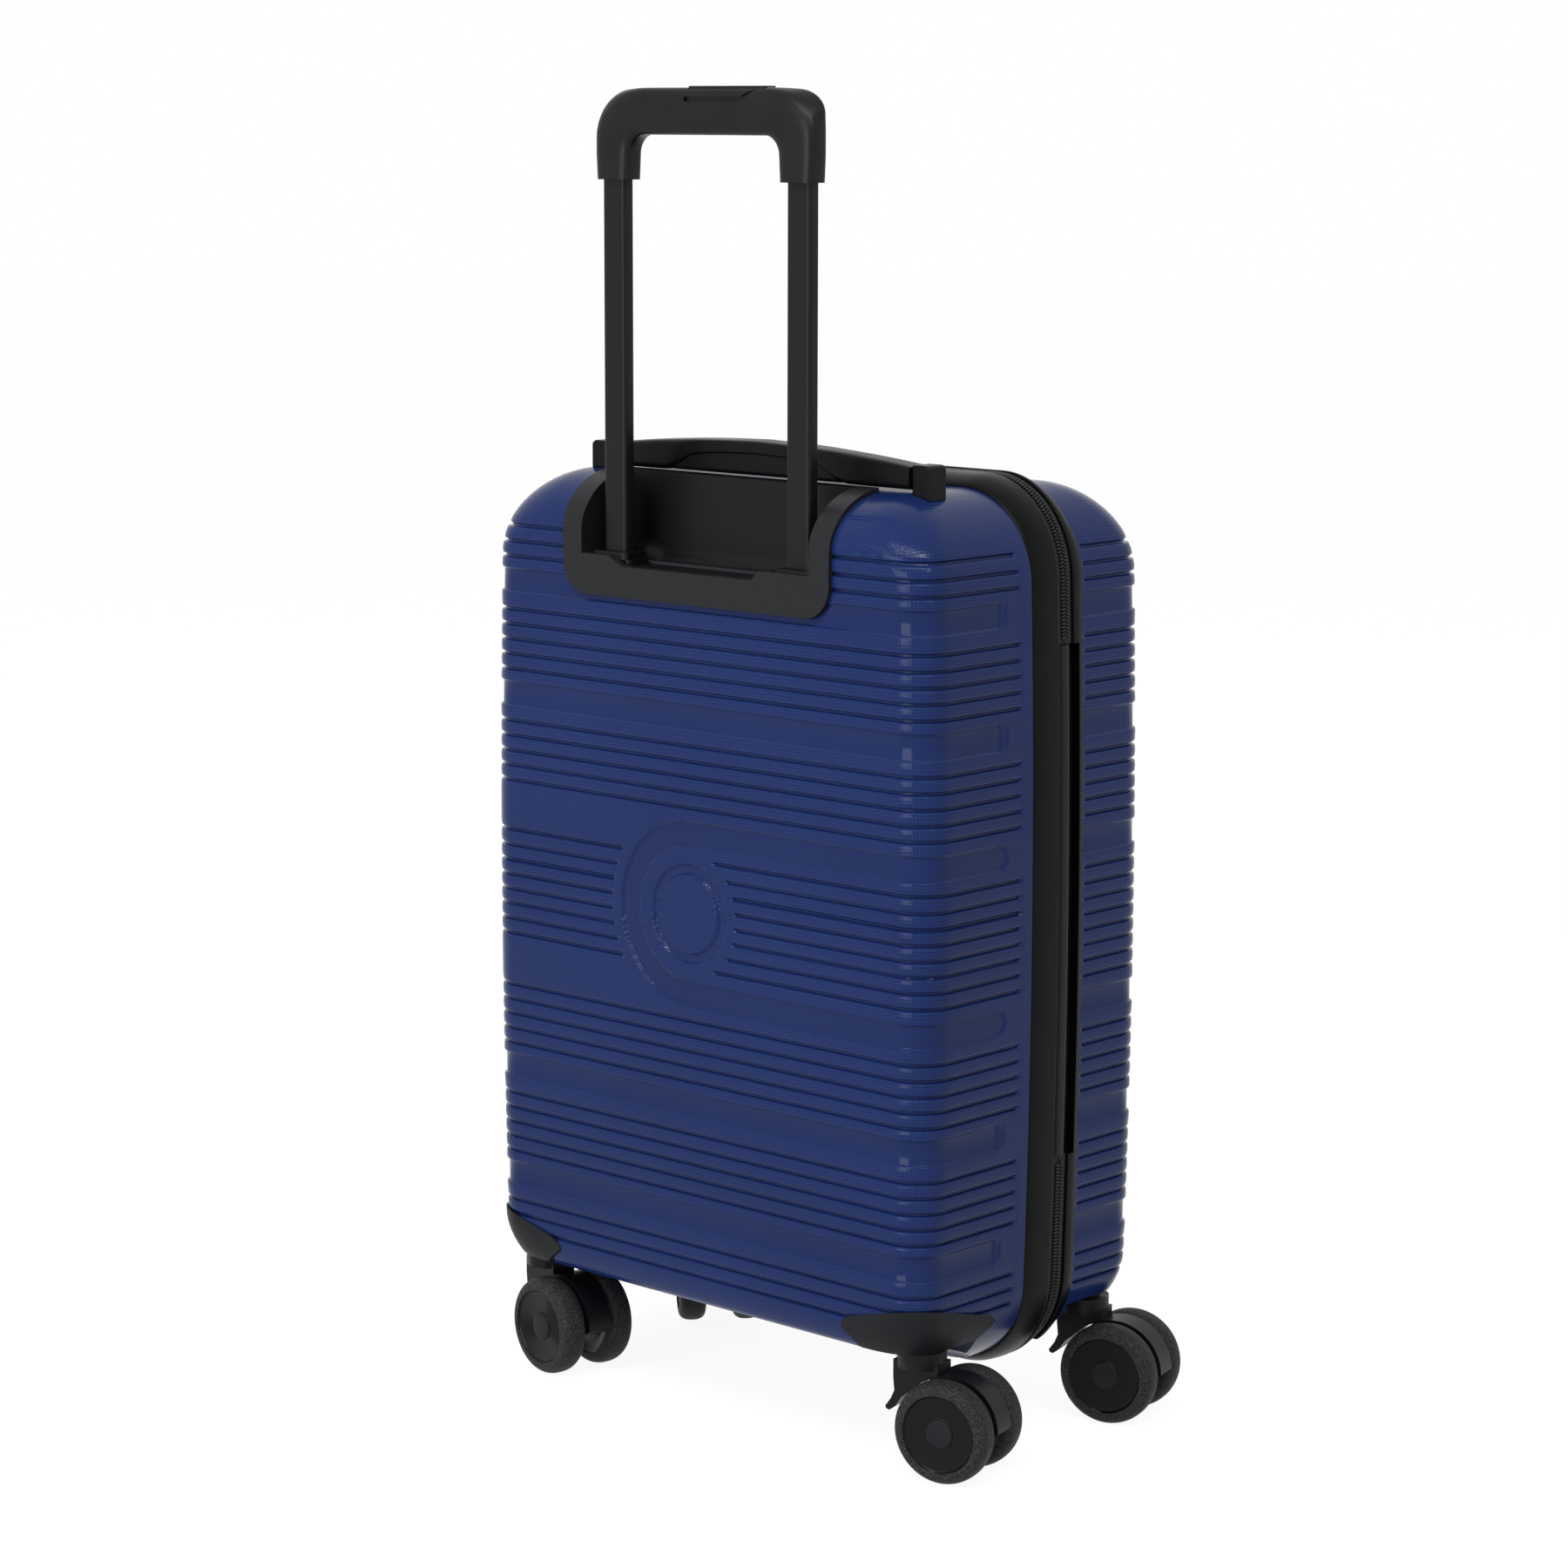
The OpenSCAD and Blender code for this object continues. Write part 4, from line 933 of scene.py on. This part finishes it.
def housing(i):
    """One housing seen as a back one, with its caster's axis at the post."""
    x, y = np.abs(POSTS[i])
    drum = [(0, 66.5), (15, 66.5), (32.5, 66.8), (33.2, 67.3), (44, 77.5), (44, 79.5), (43.4, 81.6),
            (41.6, 83.3), (38.5, 84.2), (30, 84.4), (0, 84.4)]
    grid = revolve(drum, 96)
    lift = 0.25 * (grid[..., 0] + grid[..., 1]) * np.clip((grid[..., 2] - 74) / 8, 0, 1)
    grid[..., 2] += lift
    back = POSTS[i][1] > 0
    seam = SEAM if back else -FRONT_SEAM
    inner = carve(pillow(seam + 2, WITHIN), block((-200, -10, 69.8), (200, 120, 140)), "INTERSECT")
    body = carve(pillow(seam + 4, PROUD), inner)
    # Known fault: on the front pair this cut comes out empty, so only their posts are left to see.
    body = carve(body, closed("drum", [grid + (x, y, 0)]), "INTERSECT")
    body = carve(body, rod(9, 67, 81.8, x, y), "UNION")
    body = carve(body, rod(4.05, 60, 90, x, y, 48))
    if POSTS[i][0] < 0:
        body.transform(Matrix.Diagonal((-1, 1, 1, 1)))
        body.flip_normals()
    return body if back else mirrored(body)


def joined(name, meshes):
    """Several closed meshes as one."""
    work = bmesh.new()
    for mesh in meshes:
        work.from_mesh(mesh)
        bpy.data.meshes.remove(mesh)
    result = bpy.data.meshes.new(name)
    work.to_mesh(result)
    work.free()
    return result


def eased(thing, width, angle=40, segments=2):
    """Rounds the sharp edges of a piece with a small bevel."""
    step = thing.modifiers.new("edges", "BEVEL")
    step.width, step.segments, step.limit_method = width * MM, segments, "ANGLE"
    step.angle_limit, step.harden_normals = math.radians(angle), True
    step.use_clamp_overlap = True
    return thing


for side, pair in (("back", (1, 2)), ("front", (3, 4))):
    mesh = joined(side, [housing(i) for i in pair])
    show(f"{side}_housing_form", mesh, "housing_black", f"{side}_corner_housings", sharp=30)

# %% [markdown]
# ## Parts that keep their CAD shape
# Many small parts are right as they are, but their edges are knife-sharp, and no moulded
# edge is: it catches a fine line of light. Each is copied, its loose triangles are merged into whole
# faces, and a bevel rounds its edges.

# %% Softened copies
def softened(node, finish, width=0.4, angle=40, segments=2, sharp=35):
    """A merged copy of a CAD node with rounded edges in place of the node."""
    mesh = frame["nodes"][node].data.copy()
    work = bmesh.new()
    work.from_mesh(mesh)
    bmesh.ops.remove_doubles(work, verts=work.verts, dist=0.002 * MM)
    bmesh.ops.dissolve_limit(work, angle_limit=math.radians(1), verts=work.verts, edges=work.edges)
    work.to_mesh(mesh)
    work.free()
    return eased(show(f"{node}_soft", mesh, finish, node, sharp=sharp), width, angle, segments)


# node, finish, width of the rounding, the angle above which an edge is rounded
SMALL_PARTS = [
    ("tube_collars", "cup_black", 0.5), ("middle_caps", "cup_black", 0.2),
    ("outer_tubes", "tube_lacquer", 0.3, 60), ("middle_tubes", "tube_lacquer", 0.3, 60),
    ("inner_tubes", "tube_lacquer", 0.3, 60), ("tube_feet", "fork_black"),
    ("lock_rods", "bright_steel", 0.3), ("top_handle_brackets", "handle_black", 0.9),
    ("side_handle_brackets", "handle_black", 0.9), ("lock_case", "lock_black", 0.5),
    ("lock_slide", "button_grey", 0.5), ("zip_sliders", "dark_plate", 0.35),
    *((f"zip_pull_{i}", "dark_plate", 0.35) for i in (1, 2)),
    *((f"lock_dial_{i}", "dial_metal", 0.4, 60) for i in (1, 2, 3)),
    ("strap_buckles", "lock_black", 0.6), ("back_straps", "webbing", 0.3),
    ("back_panel", "board_grey", 0.3)]
for part in SMALL_PARTS:
    softened(*part)
for side in ("back", "front"):
    softened(f"{side}_lining", "lining_cloth", 0.5, 60, sharp=40)

# %% [markdown]
# ## Trolley cup
# The tubes stand in a black cup let into the top of the back shell. Its broad rim lies on the shell,
# follows the roll of the top edge, and dips at the bottom where fingers reach the button.

# %% Cup
def prism(points, y0, y1):
    """Closed prism of a polygon of (x, z) points between two planes."""
    p = np.asarray(points, float)
    n = len(p)
    both = np.concatenate([np.c_[p[:, 0], np.full(n, y), p[:, 1]] for y in (y0, y1)]) * MM
    i = np.arange(n)
    j = (i + 1) % n
    mesh = bpy.data.meshes.new("prism")
    walls = np.stack([j, i, i + n, j + n], 1).tolist()
    mesh.from_pydata(both.tolist(), [], [i.tolist(), (i[::-1] + n).tolist(), *walls])
    return tidy(mesh, 0.0005)


cup_lo, cup_hi = span("trolley_cup")
CUP_HALF, CUP_BACK, CUP_FLOOR = 84.5, 62.5, 478.5
BEZEL_X, BEZEL_R = float(cup_hi[0]), 18.0
turn = np.linspace(0, np.pi / 2, 13)
low_z = float(cup_lo[2]) + BEZEL_R
corner = np.c_[BEZEL_X - BEZEL_R + BEZEL_R * np.sin(turn), low_z - BEZEL_R * np.cos(turn)]
area = np.vstack([corner, [(BEZEL_X, 560), (-BEZEL_X, 560)], corner[::-1] * (-1, 1)])
body = carve(pillow(27, 2.5), prism(area, 57, 130), "INTERSECT")
body = carve(body, pillow(25, -2.2))
tray = carve(pillow(27, 2.5), block((-86.9, 60.1, 470.5), (86.9, 130, 560)), "INTERSECT")
body = carve(body, tray, "UNION")

across = [np.linspace(*run) for run in ((-CUP_HALF, CUP_HALF, 30), (-50, -42, 9), (52, 66, 12))]
across = np.unique(np.concatenate(across))
dip = 5.4 * np.clip((across + 49) / 6, 0, 1) * np.clip((64 - across) / 11, 0, 1)
sweep = np.linspace(0, np.pi / 2, 9)
back = np.r_[CUP_BACK, CUP_BACK + 9 * (1 - np.cos(sweep)), 130, 130]
lift = np.r_[90, 9 * (1 - np.sin(sweep)), 0, 90]
pocket = np.stack([np.stack([np.full_like(back, x), back, CUP_FLOOR + lift - s * (lift < 60)], -1)
                   for x, s in zip(across, dip)], 1)
body = carve(body, swept("pocket", ring(pocket, 0)))
TUBE_X, TUBE_MID, HOLE_X, HOLE_Y = 68, 83, 12.6, 8.4
for x in (-TUBE_X, TUBE_X):
    body = carve(body, block((x - HOLE_X, TUBE_MID - HOLE_Y, 440), (x + HOLE_X, TUBE_MID + HOLE_Y, 500)))
eased(show("trolley_cup_form", body, "cup_black", "trolley_cup", sharp=30), 1.1, 45, 3)

# %% [markdown]
# ## Grip
# The pull grip is a bar with two legs. It is swept: an outer and an inner line run side by side up one
# leg, over the bar and down the other, and a rounded oblong section spans between them.

# %% Grip
def spaced(points, count):
    """Points at even steps along a line."""
    p = np.asarray(points, float)
    way = np.concatenate([[0], np.cumsum(np.linalg.norm(np.diff(p, axis=0), axis=1))])
    at = np.linspace(0, way[-1], count)
    return np.stack([np.interp(at, way, p[:, k]) for k in (0, 1)], -1)


def oblong(outer, inner, half, power, near=0.0):
    """Sheet of a rounded oblong section between two lines of (x, z) points, half deep to each side."""
    a = circle(40)
    w = 0.5 + 0.5 * fuller(np.cos(a), power)
    y = half * fuller(np.sin(a), power)
    flat = inner[None] + (outer - inner)[None] * w[:, None, None]
    return np.stack([flat[..., 0], near + y[:, None] + 0 * flat[..., 0], flat[..., 1]], -1)


grip_lo, grip_hi = span("grip")
TUBE_Y = float((grip_lo[1] + grip_hi[1]) / 2)
GW, G0, G1 = float(grip_hi[0]), float(grip_lo[2]), float(grip_hi[2])
q = np.linspace(0, np.pi / 2, 12)


def bend(x, z, r, s, wide=1.0):
    """Round corner, r high and wider by a factor, of the line that runs up to z and over at x."""
    line = np.c_[x - s * r * wide * (1 - np.sin(q)), z - r + r * np.cos(q)]
    return line if s > 0 else line[::-1]


def over(r):
    return spaced([(-GW + 0.8, G0), (-GW, G0 + 14), *bend(-GW, G1, r, -1, 1.4), *bend(GW, G1, r, 1, 1.4),
                   (GW, G0 + 14), (GW - 0.8, G0)], 130)


BAR = 25
leg, low = GW - BAR, G1 - BAR
under = spaced([(-leg - 0.8, G0), *bend(-leg, low, 11, -1), *bend(leg, low, 11, 1), (leg + 0.8, G0)], 130)
near, far = (oblong(over(r), under, 7.5, 0.5, near=TUBE_Y) for r in (26, 12))
share = np.clip(0.5 + (near[..., 1:2] - TUBE_Y) / 13, 0, 1)
sheet = near * share + far * (1 - share)
body = swept("grip", sheet)
button_lo, button_hi = span("grip_button")
rod_top = span("lock_rods")[1][2]
slack = 0.35
body = carve(body, block((button_lo[0] - slack, button_lo[1] - slack, rod_top - 4),
                         (button_hi[0] + slack, button_hi[1] + slack, G1 + 30)))
body = carve(body, block((-70.6, TUBE_Y - 2.6, rod_top - 6.8), (70.6, TUBE_Y + 2.6, rod_top + 1.2)))
for x in (-TUBE_X, TUBE_X):
    body = carve(body, rod(2.6, G0 - 5, rod_top + 1.2, x, TUBE_Y, 32))
    body = carve(body, block((x - 8.25, TUBE_Y - 4, G0 - 5), (x + 8.25, TUBE_Y + 4, G0 + 20)))
line = [*np.c_[10.4 + 1.3 * np.sin(2 * q), G1 - 6.2 + 1.3 * np.cos(2 * q)],
        (-29.2, G1 - 7.5), (-46.5, G1 + 2), (-44.5, G1 + 2), (-29.2, G1 - 4.9)]
for near, far in ((TUBE_Y + 5.5, TUBE_Y + 12), (TUBE_Y - 12, TUBE_Y - 5.5)):
    body = carve(body, prism(line, near, far))
show("grip_form", body, "grip_black", "grip", sharp=40)
softened("grip_button", "grip_black", 0.6, segments=3)

# %% [markdown]
# ## Carry handles
# Each carry handle is a low arch between two brackets. It is swept like the grip, and a softer insert
# fills the arch, set in a little from the sides.

# %% Carry handles
def handle(length):
    """An arch along X standing on z = 0, closed, with its insert set in."""
    h = length / 2
    x = np.linspace(-h, h, 121)
    t = np.abs(x)
    low = rounded([(0, 13.8), (30, 12.8), (47, 11.0), (54, 7.0), (63, 2.2), (75, 1.8), (h, 1.8)], 2)
    top = rounded([(0, 21.5), (0.3 * h, 20.7), (0.6 * h, 18.7), (0.85 * h, 16.2), (h, 14.2)], 2)
    outer = np.c_[x, np.interp(t, top[:, 0], top[:, 1])]
    inner = np.c_[x, np.interp(t, low[:, 0], low[:, 1])]
    sheet = oblong(outer, inner, 9.0, 0.38)
    body = swept("handle", sheet)
    x = np.linspace(-61.5, 61.5, 41)
    insert = oblong(np.c_[x, np.interp(abs(x), top[:, 0], top[:, 1]) - 4], np.c_[x, 0 * x + 2.3], 7.0, 0.3)
    body = carve(body, swept("insert", insert), "UNION")
    for s in (-1, 1):
        tongue = block((s * (h + 3.5) - 6.5, -4.5, 3), (s * (h + 3.5) + 6.5, 4.5, 5.5))
        body = carve(body, tongue, "UNION")
    return body


def placed(mesh, columns, at):
    """Turns a mesh so that its axes point along the given columns, and moves it, in millimetres."""
    turn = Matrix(np.array(columns, float).T.tolist()).to_4x4()
    mesh.transform(Matrix.Translation(Vector(at) * MM) @ turn)
    return mesh


HANDLE_X, HANDLE_Y, _ = map(float, middle("top_handle"))
for node, columns, at in (("top_handle", [(1, 0, 0), (0, 1, 0), (0, 0, 1)], (HANDLE_X, HANDLE_Y, HIGH)),
                          ("side_handle", [(0, 0, -1), (0, 1, 0), (1, 0, 0)], (HALF_W, HANDLE_Y, MID_Z))):
    low, high = span(node)
    length = float(max(high - low)) - 20.0
    mesh = placed(handle(length), columns, at)
    eased(show(f"{node}_form", mesh, "handle_black", node, sharp=30), 0.5, 50)

# %% [markdown]
# ## Casters
# Tyres and discs are lathe work. The tyre's section is a superellipse, rounder than a
# rectangle and fuller than an ellipse; the disc is dished between a flat cap and a thin step at the
# tyre, and finely ridged all over, as if turned on a lathe.

# %% Casters
GAUGE = 16.4
a = circle(48)
full = np.stack([22.0 + 6.0 * fuller(np.cos(a), 0.8), 8.0 * fuller(np.sin(a), 0.8)], -1)
full[:, 0] = np.maximum(full[:, 0], 21.2)
r = np.arange(8.6, 20.3, 0.3)
dish = np.interp(r, [8.6, 12, 16, 20.4], [5.5, 5.75, 6.15, 6.75])
ridges = np.c_[r, dish + 0.22 * (np.arange(len(r)) % 2 - 0.5)]
DISC = [(0, 5.9), (8.15, 5.9), (8.2, 5.6), *ridges, (20.4, 6.75), (20.6, 6.2), (21.0, 6.2),
        (21.2, 6.9), (22.3, 6.9), (22.3, -6.6), (20.5, -6.6), (20.2, -5.6), (10, -5.6), (9, -6.8), (0, -6.8)]
CAP = [(0, 6.5), (6.9, 6.5), (7.5, 6.35), (7.8, 6.0), (7.8, 5.4), (0, 5.4)]


def on_axle(profile, i):
    """A profile of (radius, place outwards) turned about both wheels of a caster."""
    post, axle = middle(f"stem_{i}"), middle(f"axle_{i}")
    ahead = (axle - post) * (1, 1, 0)
    ahead /= np.linalg.norm(ahead)
    across = np.array([-ahead[1], ahead[0], 0])
    r, h = np.array(profile, float).T[:, :, None, None]
    a = circle(96)[:, None]
    spoke = np.cos(a) * ahead + np.sin(a) * np.array([0, 0, 1.0])
    return np.stack([axle + s * (GAUGE + h) * across + r * spoke[None] for s in (-1, 1)])


for i in (1, 2, 3, 4):
    softened(f"fork_{i}", "fork_black", 0.9)
    softened(f"stem_{i}", "dark_plate", 0.3, 60)
    softened(f"axle_{i}", "bright_steel", 0.3, 60)
    show(f"tyres_{i}_form", closed("tyres", [on_axle(full, i)]), "tyre_rubber", f"tyres_{i}", sharp=60)
    show(f"discs_{i}", closed("discs", [on_axle(DISC, i)]), "disc_black", f"hubs_{i}", sharp=78)
    show(f"caps_{i}", closed("caps", [on_axle(CAP, i)]), "housing_black", f"hubs_{i}", stands_in=False)

# %% [markdown]
# ## Floor and light
# The studio is white. The floor and the world show plain white to the camera and in reflections, but
# light the object softly, and the floor keeps its shadow. A long key lamp hangs above the upright edge
# between the two sides in view, and a broad one stands in front of the trolley face.

# %% Floor, world and lamps
def seen(pen):
    """1 where the camera, a reflection or a refraction looks."""
    path = pen.node("ShaderNodeLightPath").socket.node.outputs
    rays = [Wire(pen.tree, path[name]) for name in ("Is Camera Ray", "Is Glossy Ray", "Is Transmission Ray")]
    return rays[0].maths("MAXIMUM", rays[0].maths("MAXIMUM", rays[0], rays[1]), rays[2])


size = 12.0
mesh = bpy.data.meshes.new("floor")
mesh.from_pydata([(-size, -size, 0), (size, -size, 0), (size, size, 0), (-size, size, 0)], [], [(0, 1, 2, 3)])
floor = placed_in_scene("floor", mesh)
pen, shader = start("floor_white", Roughness=1.0, Specular_IOR_Level=0.0)
shader.inputs["Base Color"].default_value = (0.9, 0.9, 0.9, 1)
glow = pen.node("ShaderNodeEmission", None, {"Color": (1, 1, 1, 1), "Strength": 1.15})
blend = pen.node("ShaderNodeMixShader", None,
                 {0: seen(pen) * 0.8, 1: Wire(pen.tree, shader.outputs[0]), 2: glow})
pen.tree.links.new(blend.socket, pen.tree.nodes["Material Output"].inputs["Surface"])
mesh.materials.append(finishes["floor_white"])

world = bpy.data.worlds.new("studio")
world.use_nodes = True
scene.world = world
pen = Wire(world.node_tree)
sky = world.node_tree.nodes["Background"]
sky.inputs["Color"].default_value = (1, 1, 1, 1)
world.node_tree.links.new((seen(pen) * 0.6 + 0.4).socket, sky.inputs["Strength"])


def lamp(name, place, target, power, width, height):
    data = bpy.data.lights.new(name, "AREA")
    data.shape, data.energy, data.size, data.size_y = "RECTANGLE", power, width, height
    light = placed_in_scene(name, data)
    light.location = place
    light.rotation_mode = "QUATERNION"
    light.rotation_quaternion = (Vector(target) - Vector(place)).to_track_quat("-Z", "Y")


lamp("key", (-0.8, 1.1, 2.1), (0, 0, 0.4), 36, 2.8, 0.09)
lamp("front", (0.2, 2.8, 0.8), (0, 0, 0.3), 33, 1.6, 1.6)
print("lamps:", len(bpy.data.lights))
